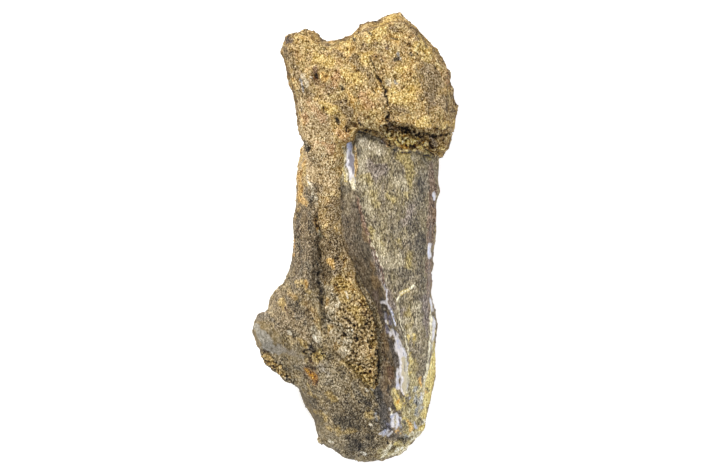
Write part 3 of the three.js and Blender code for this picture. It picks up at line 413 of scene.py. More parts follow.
        [(-4.12, -14.87, 0.09), (-4.08, -15.64, 0.11), (-4.3, -16.42, 0.13)],
        [(-5.74, -14.98, 0.09), (-5.37, -15.53, 0.1), (-4.97, -16.09, 0.13)],
        [(-5.52, -14.09, 0.1), (-4.97, -14.27, 0.1)], [(-9.9, -13.6, 0.1), (-9.74, -13.8, 0.1)],
        [(-9.12, -14.27, 0.1), (-8.86, -14.47, 0.1)], [(-4.19, 1.69, 0.13), (-4.08, 1.24, 0.13)],
        [(-6.41, 2.36, 0.11), (-6.3, 0.58, 0.13)], [(4.03, -14.31, 0.09), (4.14, -15.2, 0.1)],
        [(-10.41, -12.53, 0.08), (-9.74, -12.71, 0.08)], [(4.81, -20.09, 0.08), (5.03, -20.76, 0.08)],
        [(-5.74, -12.53, 0.11), (-5.41, -12.98, 0.11)], [(-4.52, -12.42, 0.11), (-4.23, -12.64, 0.11)],
        [(-4.97, -13.6, 0.13), (-4.52, -13.87, 0.11)], [(3.37, -13.53, 0.11), (3.59, -13.87, 0.11)],
    ]),
    "pale_speck": Stain("#e4dcc6", 0.85, 0.15, [
        [(-1.97, 1.36, 0.09), (-1.86, 1.24, 0.09)], [(-6.14, -4.09, 0.08), (-6.12, -4.2, 0.08)],
        [(-7.41, -10.31, 0.11), (-7.08, -10.76, 0.11)], [(-4.52, -10.98, 0.13), (-4.08, -11.53, 0.13)],
        [(-5.08, 6.13, 0.09), (-4.97, 6.02, 0.09)], [(-1.08, -6.09, 0.11), (-0.86, -6.76, 0.11)],
        [(-2.86, -22.53, 0.11), (-2.41, -22.87, 0.11)], [(5.37, 6.02, 0.08), (5.48, 5.91, 0.08)],
        [(-4.97, 17.69, 0.11), (-4.63, 17.47, 0.11)], [(4.81, 19.91, 0.09), (5.03, 19.69, 0.09)],
        [(1.59, -20.64, 0.1), (1.7, -20.76, 0.09)], [(0.7, -23.98, 0.13), (1.14, -24.2, 0.13)],
        [(3.26, -7.87, 0.07), (3.26, -8.2, 0.07)], [(3.81, -10.09, 0.08), (3.92, -10.42, 0.08)],
        [(3.48, -9.31, 0.07), (3.59, -9.53, 0.07)], [(1.14, -16.76, 0.09), (1.37, -16.87, 0.09)],
        [(1.81, -16.64, 0.09), (1.92, -16.98, 0.09)],
    ]),
    "face_sand": Stain("#97825e", 0.7, 0.5, [
        [(-1.74, 4.58, 0.17), (-1.86, 2.8, 0.2), (-1.63, 0.58, 0.2), (-1.08, -1.42, 0.22)],
        [(-0.41, -2.76, 0.22), (0.48, -4.31, 0.22)],
    ]),
    "dark_fleck": Stain("#33291a", 0.85, 0.2, [
        [(3.32, -7.64, 0.1), (3.37, -8.2, 0.1)], [(3.59, -8.31, 0.09), (3.7, -8.64, 0.09)],
        [(3.14, -9.09, 0.09), (3.21, -9.53, 0.09)], [(3.7, -9.09, 0.09), (3.92, -9.42, 0.08)],
        [(3.59, -10.09, 0.09), (3.66, -10.42, 0.09)], [(4.99, -17.53, 0.12), (5.26, -18.2, 0.14)],
        [(4.7, -17.93, 0.07), (4.81, -18.31, 0.07)], [(4.26, -18.53, 0.08), (4.37, -18.98, 0.09)],
        [(5.14, -19.09, 0.09), (5.37, -19.2, 0.09)], [(5.37, -20.42, 0.12), (5.54, -20.98, 0.12)],
        [(4.7, -22.24, 0.14), (5.32, -22.6, 0.2)], [(5.14, -22.38, 0.19), (5.77, -22.24, 0.21)],
        [(3.54, -22.31, 0.11), (3.59, -22.87, 0.12)], [(7.14, -20.04, 0.1), (7.32, -20.42, 0.1)],
        [(6.7, -17.98, 0.11), (6.81, -18.53, 0.12)], [(5.92, -16.31, 0.1), (6.1, -16.87, 0.1)],
        [(8.1, -16.87, 0.11), (8.21, -17.09, 0.11)], [(0.03, -22.76, 0.22), (0.7, -23.2, 0.27)],
        [(1.14, -18.31, 0.18), (1.7, -18.64, 0.22)], [(1.26, -22.2, 0.11), (1.48, -22.42, 0.11)],
        [(4.48, -21.76, 0.07), (4.26, -22.2, 0.08)], [(3.81, -20.98, 0.08), (3.99, -21.42, 0.08)],
        [(-3.52, 20.91, 0.1), (-3.47, 20.69, 0.1)], [(2.81, 19.58, 0.11), (3.03, 19.36, 0.11)],
        [(-0.19, 21.91, 0.11), (0.03, 21.58, 0.11)], [(4.74, 19.73, 0.1), (4.26, 19.47, 0.11)],
        [(0.37, 12.8, 0.16), (0.7, 12.24, 0.18)], [(-5.63, 10.24, 0.13), (-5.19, 9.13, 0.18)],
        [(-4.19, 17.91, 0.11), (-4.03, 17.47, 0.12)], [(7.7, 21.13, 0.11), (7.92, 20.8, 0.11)],
        [(1.59, 22.47, 0.11), (1.81, 22.13, 0.11)], [(4.03, 21.91, 0.11), (4.48, 21.69, 0.11)],
        [(4.77, -14.09, 0.07), (4.79, -15.31, 0.07)], [(-1.3, 23.02, 0.09), (-1.19, 22.69, 0.09)],
        [(-1.52, 16.58, 0.1), (-1.3, 16.13, 0.1)], [(1.81, 16.13, 0.11), (2.03, 15.8, 0.11)],
        [(-2.19, 13.02, 0.11), (-1.74, 12.58, 0.11)], [(-6.19, 14.36, 0.09), (-5.97, 13.91, 0.1)],
        [(3.59, -16.42, 0.09), (3.7, -17.2, 0.09)], [(-2.86, 15.69, 0.09), (-2.74, 15.36, 0.09)],
        [(6.03, 20.13, 0.09), (6.26, 19.91, 0.09)], [(-4.86, -12.09, 0.11), (-4.52, -12.76, 0.11)],
        [(-5.41, -12.53, 0.09), (-5.08, -13.2, 0.1)],
    ]),
    # Sunk gaps with painted shade: the dark band under the ledge's lip, black between nodules, the groove
    # down the left column, and a painted shadow by the grainy patch's right edge.
    "gap_and_painted_shade": Stain("#4a3818", 0.85, 0.2, [
        [(3.37, 12.69, 0.09), (4.03, 12.51, 0.13)],
        [(4.48, 12.36, 0.18), (5.37, 12.07, 0.27), (6.26, 11.62, 0.29), (7.03, 11.13, 0.27),
         (7.59, 10.8, 0.18)],
        [(7.14, 11.53, 0.16), (8.26, 11.24, 0.22), (9.14, 11.07, 0.22), (10.03, 11.18, 0.18),
         (10.81, 11.69, 0.09)],
        [(4.1, 11.51, 0.08), (3.92, 10.91, 0.07)], [(4.66, 11.18, 0.08), (4.77, 10.58, 0.07)],
        [(5.32, 11.02, 0.07), (5.59, 10.51, 0.07)], [(5.92, 10.96, 0.1), (6.1, 10.69, 0.08)],
        [(6.48, 11.07, 0.1), (6.99, 10.36, 0.09)], [(3.7, 10.47, 0.08), (3.88, 9.8, 0.08)],
        [(4.32, 10.29, 0.07), (4.48, 9.8, 0.07)], [(4.99, 10.4, 0.07), (5.21, 9.69, 0.07)],
        [(5.77, 10.18, 0.07), (6.14, 9.62, 0.08)], [(6.26, 10.02, 0.07), (6.99, 9.73, 0.07)],
        [(5.14, 9.36, 0.07), (6.26, 9.36, 0.07)], [(7.59, 10.8, 0.07), (8.92, 9.8, 0.07), (9.37, 9.36, 0.06)],
        [(8.03, 9.69, 0.09), (8.7, 9.24, 0.09), (9.48, 8.73, 0.09)], [(8.48, 9.91, 0.06), (9.03, 9.47, 0.06)],
        [(6.37, 9.41, 0.04), (9.03, 8.69, 0.06)],
        [(-6.3, 1.69, 0.07), (-6.23, -0.31, 0.09), (-6.19, -2.31, 0.08), (-6.08, -3.42, 0.06)],
        [(-4.19, -2.98, 0.09), (-3.86, -3.64, 0.11), (-4.01, -4.31, 0.09)],
        [(-3.97, -4.98, 0.1), (-3.68, -5.64, 0.12), (-3.86, -6.42, 0.1)],
        [(-3.79, -6.87, 0.09), (-3.57, -7.42, 0.1)],
        [(-1.52, -8.76, 0.1), (-0.74, -9.2, 0.1), (-0.19, -9.64, 0.09)],
        [(0.92, -9.2, 0.09), (1.59, -10.31, 0.09), (2.26, -11.42, 0.09)],
        [(-1.41, -10.53, 0.1), (-1.19, -10.76, 0.1)], [(-0.08, -10.98, 0.1), (0.03, -11.42, 0.11)],
        [(0.59, -10.98, 0.1), (0.92, -11.64, 0.11)], [(1.37, -11.2, 0.1), (1.7, -12.09, 0.1)],
        [(-0.19, -12.76, 0.1), (0.14, -12.87, 0.1)],
        [(2.48, -11.76, 0.09), (2.54, -13.64, 0.1), (2.48, -15.42, 0.11), (2.03, -16.31, 0.09)],
        [(-1.74, -9.2, 0.09), (-1.41, -9.42, 0.09)],
    ]),
    # A crack, sunk and dark, and a painted shadow along the sandstone cap's lower edge on the crown.
    "crack_and_edge_shadow": Stain("#3a2a12", 0.85, 0.08, [
        [(1.68, 19.58, 0.06), (1.88, 18.8, 0.09), (2.26, 18.02, 0.08), (2.52, 17.47, 0.1),
         (2.77, 16.91, 0.09), (3.08, 16.24, 0.11), (3.34, 15.47, 0.08), (3.68, 14.91, 0.11),
         (3.77, 14.24, 0.09)],
        [(3.66, 13.8, 0.07), (3.53, 13.24, 0.1), (3.48, 12.69, 0.1)],
        [(-0.19, 11.69, 0.04), (0.7, 11.58, 0.07), (1.59, 11.58, 0.04), (2.7, 11.4, 0.07),
         (3.37, 11.13, 0.07)],
        [(3.59, 10.36, 0.06), (4.59, 9.3, 0.07)], [(3.48, 14.36, 0.07), (3.14, 13.69, 0.06)],
    ]),
    "packed_sand": Stain("#a98f5e", 0.7, 0.4, [
        [(-0.97, 12.8, 0.22), (-0.41, 11.91, 0.27)], [(1.59, -11.2, 0.18), (1.7, -11.87, 0.18)],
    ]),
}

# How far some of those stand out of the surface or sink into it.
STAIN_RELIEF = {
    "bare_enamel_and_highlight": -0.13, "chip_core": -0.08, "cream_line": 0.07, "gap_and_painted_shade": -0.26, "rust": -0.2,
    "iron_brown": -0.1, "ochre_stain": 0.05, "orange_stain": 0.05, "yellow_dentine": -0.05, "red_brown": 0.04,
    "purple_band": -0.05, "packed_sand": 0.35, "dark_fleck": -0.08, "crack_and_edge_shadow": -0.18,
}

# Regions whose texture differs, as strokes.
REGIONS = {
    "sandy_column": [
        [(-5.6, 12.0, 1.6), (-5.0, 6.0, 1.8), (-5.2, 1.0, 1.4)],
        [(-3.0, 9.0, 2.0), (-2.8, 2.0, 1.6), (-2.4, -4.0, 1.2)],
        [(-7.0, -7.5, 1.4), (-5.6, -9.5, 1.8)],
    ],
    "nodules": [
        [(-1.6, -5.5, 1.0), (-0.8, -8.0, 2.2), (0.4, -10.5, 2.8), (1.0, -13.0, 2.5), (1.7, -16.0, 1.4)],
    ],
    "ledge_nodules": [[(3.8, 11.3, 0.9), (5.5, 10.9, 1.6), (7.0, 10.4, 1.3), (9.0, 10.0, 0.9)]],
    "crust": [
        [(-10.2, -13.0, 0.5), (-9.3, -14.3, 0.9), (-8.3, -15.3, 0.9), (-7.2, -16.2, 0.6)],
        [(-5.0, -12.6, 0.5), (-3.9, -13.2, 0.6)],
    ],
    "built_up": [[(7.4, -20.6, 0.7), (7.0, -21.8, 0.8), (5.6, -23.2, 0.8), (4.4, -24.3, 0.5)]],
    "broken_off": [[(-6.8, 23.9, 1.2), (-5.0, 23.9, 1.1)], [(-8.4, -4.6, 0.7), (-10.4, -7.6, 0.7)]],
    "worn_smooth": [
        [(-10.8, -9.8, 0.7), (-9.9, -11.2, 1.3), (-8.3, -12.4, 1.0), (-6.2, -13.2, 0.5)],
        [(-5.8, -17.5, 0.7), (-4.4, -20.4, 0.8), (-3.2, -22.2, 0.5)],
    ],
}

# Lumps of each surface, from the broad to the fine: rows of (height, width or widths along x, y and z, salt).
SANDY_LUMPS = [(0.22, 2.4, 61), (0.13, 1.1, 62), (0.06, 0.52, 63), (0.02, 0.3, 64)]
ROOT_LUMPS = [(0.16, 2.3, 21), (0.12, 1.05, 22), (0.08, 0.5, 23), (0.02, 0.28, 26)]
ROOT_FIBRES = [(0.17, (0.5, 4.0, 2.0), 24), (0.09, (0.3, 1.8, 1.0), 25)]
ENAMEL_STREAKS = [
    (0.028, (0.3, 5.0, 3.0), 31), (0.03, (0.8, 9.0, 4.0), 32), (0.035, 1.6, 33),
    (0.022, (0.35, 0.7, 0.5), 34),
]
GAP_DEPTH = 0.2  # how deep the gaps between nodules are

# ---- Noise, the same on every run. Each salt gives another pattern. ----

ODD_NUMBERS = [np.uint64(0x9E3779B97F4A7C15), np.uint64(0xC2B2AE3D27D4EB4F), np.uint64(0x165667B19E3779F9)]
STIRRER = np.uint64(0xD6E8FEB86659FD93)
HALF_WORD = np.uint64(32)
KEPT_BITS = 24


def chance(cells, salt=0):
    """A number from 0 to 1 for each cell of a lattice."""
    mix = np.full(cells.shape[:-1], salt * 7919 + 1, dtype=np.uint64)
    for axis, odd in enumerate(ODD_NUMBERS):
        mix += cells[..., axis].astype(np.int64).astype(np.uint64) * odd
    for _ in range(2):
        mix *= STIRRER
        mix ^= mix >> HALF_WORD
    return (mix >> np.uint64(64 - KEPT_BITS)).astype(float) / 2**KEPT_BITS


def swell(points, size, salt=0):
    """Smooth lumps and dips from -1 to 1, about size across."""
    scaled = points / np.asarray(size, dtype=float)
    low = np.floor(scaled)
    share = scaled - low
    share = share**3 * (share * (share * 6 - 15) + 10)
    total = np.zeros(len(points))
    for corner in product((0, 1), repeat=3):
        weight = np.prod(np.where(corner, share, 1 - share), axis=1)
        total += weight * chance(low + corner, salt)
    return total * 2 - 1


def lumps_of(points, rows):
    """The height of every row of lumps together."""
    return sum(height * swell(points, size, salt) for height, size, salt in rows)


def jostled(points, amount, size, salts):
    """The points, moved by up to amount along as many axes as there are salts."""
    moved = points.copy()
    for axis, salt in enumerate(salts):
        moved[:, axis] += amount * swell(points, size, salt)
    return moved


def pebbles(points, size, salt=0):
    """How far each point is from the middle of its grain, and from the gap to the next one, in sizes."""
    scaled = points / np.asarray(size, dtype=float)
    low = np.floor(scaled)
    first = np.full(len(points), FAR)
    second = np.full(len(points), FAR)
    for step in product((-1, 0, 1), repeat=3):
        cell = low + step
        middle = cell + np.stack([chance(cell, salt + axis) for axis in range(3)], axis=1)
        distance = np.linalg.norm(scaled - middle, axis=1)
        second = np.minimum(second, np.maximum(first, distance))
        first = np.minimum(first, distance)
    return first, second - first


def ramp(values, low, high):
    """0 at low, 1 at high, smooth between."""
    share = np.clip((values - low) / (high - low), 0, 1)
    return share * share * (3 - 2 * share)


# ---- Lines and strokes ----


def line_x(rows, y):
    """Where a line of (y, x) rows lies at each y."""
    stations, places = zip(*sorted(rows))
    return np.interp(y, stations, places)


def stroke(points, path):
    """How far inside a stroke each point lies, in millimetres, seen from above. It is below 0 outside."""
    flat = points[:, :2]
    inside = np.full(len(points), -FAR)
    for (*start, start_half), (*end, end_half) in zip(path, path[1:]):
        run = np.subtract(end, start)
        along = np.clip((flat - start) @ run / (run @ run), 0, 1)
        distance = np.linalg.norm(flat - start - along[:, None] * run, axis=1)
        inside = np.maximum(inside, start_half + (end_half - start_half) * along - distance)
    return inside


def mark(points, paths, soft):
    """How strongly a mark of several strokes shows at each point, its edge fraying as much as it is soft."""
    frayed = soft * (0.6 * swell(points, 0.5 + soft, 71) + 0.4 * swell(points, 0.22 + 0.4 * soft, 72))
    depth = np.max([stroke(points, path) for path in paths], axis=0) + frayed
    return ramp(depth, -soft / 2 - MARK_EDGE, soft / 2 + MARK_EDGE)


# ---- Fine skins ----


def fine_copy(node, name):
    """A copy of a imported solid's surface in even faces, smoothed, as a mesh in millimetres."""
    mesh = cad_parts[node].data.copy()
    mesh.transform(Matrix.Scale(1 / MM, 4))
    source = bpy.data.objects.new("source", mesh)
    bpy.context.scene.collection.objects.link(source)
    even = source.modifiers.new("even faces", "REMESH")
    even.mode = "VOXEL"
    even.voxel_size = SKIN
    worn = source.modifiers.new("worn edges", "SMOOTH")
    worn.factor = 0.5
    worn.iterations = 6
    graph = bpy.context.evaluated_depsgraph_get()
    made = bpy.data.meshes.new_from_object(source.evaluated_get(graph))
    made.name = name
    made.materials.clear()
    bpy.data.objects.remove(source)
    bpy.data.meshes.remove(mesh)
    return made


def points_of(mesh):
    flat = np.empty(len(mesh.vertices) * 3)
    mesh.vertices.foreach_get("co", flat)
    return flat.reshape(-1, 3)


def normals_of(mesh):
    flat = np.empty(len(mesh.vertices) * 3)
    mesh.vertices.foreach_get("normal", flat)
    return flat.reshape(-1, 3)


def move_points(mesh, points):
    """Moves the mesh's points, none of them below the table."""
    points[:, 2] = np.maximum(points[:, 2], 0)
    mesh.vertices.foreach_set("co", points.ravel())
    mesh.update()


def neighbour_mean(mesh, values):
    """The mean of each point's neighbours."""
    ends = np.empty(len(mesh.edges) * 2, dtype=int)
    mesh.edges.foreach_get("vertices", ends)
    first, second = ends.reshape(-1, 2).T
    columns = values.reshape(len(values), -1)
    total = np.zeros_like(columns)
    np.add.at(total, first, columns[second])
    np.add.at(total, second, columns[first])
    count = np.bincount(ends, minlength=len(values))[:, None]
    return (total / np.maximum(count, 1)).reshape(values.shape)


HOLLOW_CONTRAST = 2.4
PEAK_LIGHT = 0.07  # how much lighter the peaks are
PORE_SHADE = 0.3  # painted shade: how much darker pores are
GAP_SHADE = 0.22  # painted shade: how much darker the gaps between nodules are
STONE_SIDE_SHADE = 0.26  # painted shade: how much darker the stone's steep sides are
# painted shade: how much darker the tooth's steep sides are
TOOTH_SIDE_SHADE = 0.08


def hollowness(mesh):
    """From 0 on a peak to 1 in a pore, 0.5 where the surface is even."""
    points, normals = points_of(mesh), normals_of(mesh)
    hollow = np.einsum("ij,ij->i", neighbour_mean(mesh, points) - points, normals) / SKIN
    for _ in range(2):
        hollow = 0.5 * hollow + 0.5 * neighbour_mean(mesh, hollow)
    return np.clip(0.5 + hollow * HOLLOW_CONTRAST, 0, 1)


def painted_shade_of(mesh, gap, side_shade):
    """How much lighter or darker than its finish each point is. Painted shade darkens pores, the gaps between
    nodules and the steep sides, and the peaks are lighter.
    """
    hollow = hollowness(mesh)
    peaks_and_pores = PEAK_LIGHT * ramp(hollow, 0.5, 0.1) - PORE_SHADE * ramp(hollow, 0.56, 0.95)
    return peaks_and_pores - GAP_SHADE * gap - side_shade * ramp(normals_of(mesh)[:, 2], 0.55, 0.05)


def store(mesh, values_by_name):
    """Keeps values for each point, for the finish to read."""
    for name, values in values_by_name.items():
        layer = mesh.attributes.new(name, "FLOAT", "POINT")
        layer.data.foreach_set("value", values.astype(np.float32))


class Surface(NamedTuple):
    """A sculpted skin in millimetres, for sand to stick to, and the values that it keeps for its finish."""

    points: np.ndarray
    normals: np.ndarray
    kept: dict


def finished_piece(mesh, node, materials):
    """The mesh as a piece of the fossil in metres, in place of its plain solid."""
    mesh.transform(Matrix.Scale(MM, 4))
    mesh.polygons.foreach_set("use_smooth", np.ones(len(mesh.polygons), dtype=bool))
    for material in materials:
        mesh.materials.append(material)
    piece = bpy.data.objects.new(mesh.name, mesh)
    bpy.context.scene.collection.objects.link(piece)
    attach(piece, "root")
    if node:
        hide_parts(node)


# ---- What both skins share ----


def stains_on(points, top):
    """How strongly each stain shows at each point. Noise frays every stroke's edge."""
    frayed = jostled(points, 0.11, 0.42, (71, 72))
    return {name: mark(frayed, stain.strokes, stain.soft) * top for name, stain in STAINS.items()}


def stain_relief(stains):
    return sum(height * stains[name] for name, height in STAIN_RELIEF.items())


def sandy_relief(points):
    """Broken, cemented sand: lumps of every size, and pores where pebbles fell out."""
    grain, _ = pebbles(points, 0.8, 41)
    pore, _ = pebbles(points, 1.5, 49)
    return lumps_of(points, SANDY_LUMPS) + 0.05 * (0.5 - grain) - 0.18 * ramp(pore, 0.24, 0.12) - 0.03


def nodule_relief(points):
    """Round lumps of cemented sand, and how near each point is to a gap between them, from 0 to 1."""
    middle, gap = pebbles(jostled(points, 0.18, 0.7, (81, 82, 83)), NODULE, 53)
    return 0.3 * (0.5 - middle), ramp(gap, 0.24, 0.04)


# ---- The tooth's skin ----


def tooth_zones(points, normals):
    """Which finish each point of the tooth has, and how far it is part of the stained top, from 0 to 1."""
    x, y, z = points.T
    frayed = x + 0.22 * swell(points, 1.3, 5) + 0.1 * swell(points, 0.4, 6)
    up = ramp(normals[:, 2], 0.02, 0.3)
    left, keel, right = (line_x(rows, y) for rows in (FACE_LEFT, KEEL, FACE_RIGHT))
    above_tip = ramp(y + 0.5 * swell(points, 1.0, 7), *TIP_WORN)
    enamel = ramp(frayed - left, -0.12, 0.12) * ramp(right - x, -0.1, 0.15) * above_tip * up
    dark = enamel * ramp(keel - x, -0.1, 0.12) * ramp(y + 0.5 * swell(points, 0.8, 8), *DARK_FACE_TOP)
    bare_side = ramp(normals[:, 2], 0.3, 0.05) * ramp(swell(points, 0.8, 10), -0.2, 0.1)
    top = ramp(z + 0.4 * swell(points, 1.5, 9), *TOOTH_TOP) * (1 - bare_side)
    return {"enamel": enamel, "dark_face": dark}, top


def sculpt_tooth(mesh):
    """Wears and grains the tooth's skin, and keeps what its finish reads."""
    points, normals = points_of(mesh), normals_of(mesh)
    zones, top = tooth_zones(points, normals)
    stains = stains_on(points, top)
    regions = {name: mark(points, paths, 0.7) * top for name, paths in REGIONS.items()}
    enamel = zones["enamel"]
    root = 1 - enamel
    sandy = root * regions["sandy_column"]
    smooth = regions["worn_smooth"]
    crusted = root * regions["crust"]
    grain, _ = pebbles(points, 0.55, 11)
    plain = lumps_of(points, ROOT_LUMPS) + 0.05 * (0.55 - grain)
    fibrous = lumps_of(points, ROOT_FIBRES) * ramp(points[:, 1], *FIBRES_FADE)
    lumps, gap = nodule_relief(points)
    relief = root * (1 - 0.8 * smooth) * (plain + fibrous + 0.5 * sandy * sandy_relief(points))
    relief += crusted * (lumps - GAP_DEPTH * gap)
    relief += enamel * lumps_of(points, ENAMEL_STREAKS)
    relief += 0.3 * regions["built_up"] - 0.3 * regions["broken_off"]
    points = points + normals * (relief + stain_relief(stains))[:, None]
    move_points(mesh, points)
    calm = np.maximum.reduce([0.6 * smooth, 0.85 * stains["bare_enamel_and_highlight"], 0.25 * zones["dark_face"]])
    # painted shade in pores, nodule gaps and on steep sides, and lighter peaks
    shade_and_tone = painted_shade_of(mesh, gap=0.6 * gap * crusted, side_shade=TOOTH_SIDE_SHADE)
    kept = {**zones, **stains, "sandy": sandy, "calm": calm, "shade_and_tone": shade_and_tone}
    store(mesh, kept)
    return Surface(points, normals_of(mesh), kept)


def faces_over(mesh, values, share):
    """Which faces of the mesh have corners that hold more than this share on average."""
    corners = np.empty(len(mesh.loops), dtype=int)
    mesh.loops.foreach_get("vertex_index", corners)
    starts = np.empty(len(mesh.polygons), dtype=int)
    mesh.polygons.foreach_get("loop_start", starts)
    return np.add.reduceat(values[corners], starts) / np.diff([*starts, len(corners)]) > share


# ---- The stone's skin ----


def seated(points, tooth_tree):
    """The stone's points, its seat drawn down onto the tooth, and how far from the tooth each one was."""
    moved = points.copy()
    reach = np.full(len(points), FAR)
    for index, point in enumerate(points):
        found, normal, _, distance = tooth_tree.find_nearest(Vector(point), SEAT_FADE)
        if found is not None:
            reach[index] = distance
            drawn = (SEAT_GAP + SEAT_BITE) * (1 - ramp(distance, SEAT_GAP, SEAT_FADE))
            moved[index] -= drawn * np.array(normal)
    return moved, reach


def sculpt_stone(mesh, tooth_tree):
    """Grains, pits and cracks the stone's skin, and keeps what its finish reads. Its seat stays smooth."""
    points, normals = points_of(mesh), normals_of(mesh)
    top = ramp(points[:, 2], *STONE_TOP)
    stains = stains_on(points, top)
    seat, reach = seated(jostled(points, 0.16, 0.9, (91, 92)), tooth_tree)
    open_air = ramp(reach, 0.36, 0.7)
    patch = mark(points, REGIONS["nodules"], 0.8) * top
    ledge = mark(points, REGIONS["ledge_nodules"], 0.8) * top
    lumpy = np.maximum(patch, ledge)
    lumps, gap = nodule_relief(points)
    gap *= np.maximum(ledge, ramp(swell(points, 1.3, 57), -0.5, 0.25))
    relief = sandy_relief(points) * (1 - 0.3 * lumpy) + lumpy * (lumps - GAP_DEPTH * gap)
    relief += stain_relief(stains)
    relief -= 0.45 * mark(points, REGIONS["broken_off"], 0.6)
    points = seat + normals * (relief * open_air)[:, None]
    move_points(mesh, points)
    # painted shade in pores, nodule gaps and on steep sides, and lighter peaks
    shade_and_tone = painted_shade_of(mesh, gap=0.8 * gap * lumpy, side_shade=STONE_SIDE_SHADE)
    kept = {**stains, "sandy": np.ones(len(points)), "calm": np.zeros(len(points)), "shade_and_tone": shade_and_tone}
    store(mesh, kept)
    return Surface(points, normals_of(mesh), kept), open_air


# ---- Sand grains, stuck to the surfaces ----

GOLDEN = (1 + math.sqrt(5)) / 2
GRAIN_CORNERS = np.array(
    [(-1, GOLDEN, 0), (1, GOLDEN, 0), (-1, -GOLDEN, 0), (1, -GOLDEN, 0), (0, -1, GOLDEN), (0, 1, GOLDEN),
     (0, -1, -GOLDEN), (0, 1, -GOLDEN), (GOLDEN, 0, -1), (GOLDEN, 0, 1), (-GOLDEN, 0, -1), (-GOLDEN, 0, 1)]
) / math.hypot(1, GOLDEN)
GRAIN_FACES = np.array(
    [(0, 11, 5), (0, 5, 1), (0, 1, 7), (0, 7, 10), (0, 10, 11), (1, 5, 9), (5, 11, 4), (11, 10, 2),
     (10, 7, 6), (7, 1, 8), (3, 9, 4), (3, 4, 2), (3, 2, 6), (3, 6, 8), (3, 8, 9), (4, 9, 5), (2, 4, 11),
     (6, 2, 10), (8, 6, 7), (9, 8, 1)]
)


def grain_mesh(name, places, sizes, rng):
    """Every grain of a layer of sand in one mesh: an uneven pebble at each place, turned at random."""
    count = len(places)
    turns, _ = np.linalg.qr(rng.normal(size=(count, 3, 3)))
    stretch = rng.uniform(0.7, 1.2, (count, 1, 3)) * sizes[:, None, None] / 2
    knocks = rng.uniform(0.82, 1.12, (count, len(GRAIN_CORNERS), 1))
    corners = (GRAIN_CORNERS * knocks * stretch) @ turns
    points = (corners + places[:, None, :]).reshape(-1, 3)
    faces = GRAIN_FACES + len(GRAIN_CORNERS) * np.arange(count)[:, None, None]
    flipped = np.linalg.det(turns) < 0
    faces[flipped] = faces[flipped][..., ::-1]
    mesh = bpy.data.meshes.new(name)
    mesh.vertices.add(len(points))
    mesh.vertices.foreach_set("co", points.ravel())
    corner_list = faces.reshape(-1)
    mesh.loops.add(len(corner_list))
    mesh.loops.foreach_set("vertex_index", corner_list)
    mesh.polygons.add(len(corner_list) // 3)
    mesh.polygons.foreach_set("loop_start", np.arange(0, len(corner_list), 3))
    mesh.update(calc_edges=True)
    mesh.validate()
    return mesh


def sprinkle(name, surface, weights, count, material, seed):
    """A layer of sand grains half sunk in a surface, thicker where the weights are higher.

    Each grain takes the stains and the painted shade of the surface under it, and a tone of its own.
    """
    rng = np.random.default_rng(seed)
    picked = rng.choice(len(surface.points), count, replace=False, p=weights / weights.sum())
    sizes = SAND * np.clip(rng.lognormal(0, 0.3, count), 0.5, 2.0)
    sink = rng.uniform(-0.42, -0.08, count) * sizes
    places = surface.points[picked] + surface.normals[picked] * sink[:, None]
    places[:, 2] = np.maximum(places[:, 2], 0.6 * sizes)
    mesh = grain_mesh(name, places, sizes, rng)
    values = {key: np.repeat(under[picked], len(GRAIN_CORNERS)) for key, under in surface.kept.items()}
    values["shade_and_tone"] += np.repeat(rng.uniform(-0.09, 0.1, count), len(GRAIN_CORNERS))
    store(mesh, values)
    finished_piece(mesh, None, [material])


# ---- Finishes ----

# Kinds of node with their settings. Their inputs are given in order.
PLUS = ("ShaderNodeMath", {"operation": "ADD"})
TIMES = ("ShaderNodeMath", {"operation": "MULTIPLY"})
TIMES_PLUS = ("ShaderNodeMath", {"operation": "MULTIPLY_ADD"})
SQUEEZED = ("ShaderNodeVectorMath", {"operation": "MULTIPLY_ADD"})  # a place, its squeeze, and a step away
STRETCH = ("ShaderNodeMapRange", {})  # a value, its low and high, and what they become
POWER = ("ShaderNodeGamma", {})
OVER = ("ShaderNodeMix", {"data_type": "RGBA"})  # a share, the colour below, the colour over it
BRIGHTEN = ("ShaderNodeMix", {"data_type": "RGBA", "blend_type": "ADD", "clamp_result": True})

GAMMA = 2.2  # between linear colour and what the eye sees

# Widths in millimetres. Facets of sand, pores of bone and bundles of enamel fibres are finer in life, and are
# drawn as coarse as they need to be to show.
SAND_FACET = 0.1
BONE_PORE = 0.095
ENAMEL_FIBRE = 0.085
LOST_GRAIN = 0.24  # a pit where a grain fell out
WORN_FLECK = 0.3  # what is left of a stain where it fades

PIT_SHADE = 0.36  # painted shade: how much darker those pits are, of sRGB's whole range
PIT_DEPTH = 2  # how deep they are, by the height of a crystal
GLINT = 0.08  # how much lighter the palest crystals are

# Minerals in each finish: rows of (width in millimetres, colour, strength, salt).
SANDSTONE_MINERALS = [
    (1.6, "#7f6a58", 0.42, 11),  # purple-grey
    (1.2, "#b58b46", 0.36, 12),  # orange
    (1.1, "#8f7f45", 0.38, 13),  # olive
    (0.4, "#cdbb86", 0.45, 14),  # pale quartz
]
ROOT_MINERALS = [
    (0.5, "#6e6556", 0.38, 21),  # grey
    (0.7, "#a08851", 0.34, 22),  # ochre
    (0.4, "#b5a686", 0.45, 23),  # pale bone
]
ENAMEL_MINERALS = [
    (1.1, "#92824c", 0.4, 31),  # olive
    (1.0, "#716254", 0.42, 32),  # violet-grey
]


def linear(code):
    """A colour's linear values from its sRGB hex code."""
    parts = [int(code[start:start + 2], 16) / 255 for start in (1, 3, 5)]
    return *(part / 12.92 if part <= 0.04045 else ((part + 0.055) / 1.055) ** 2.4 for part in parts), 1


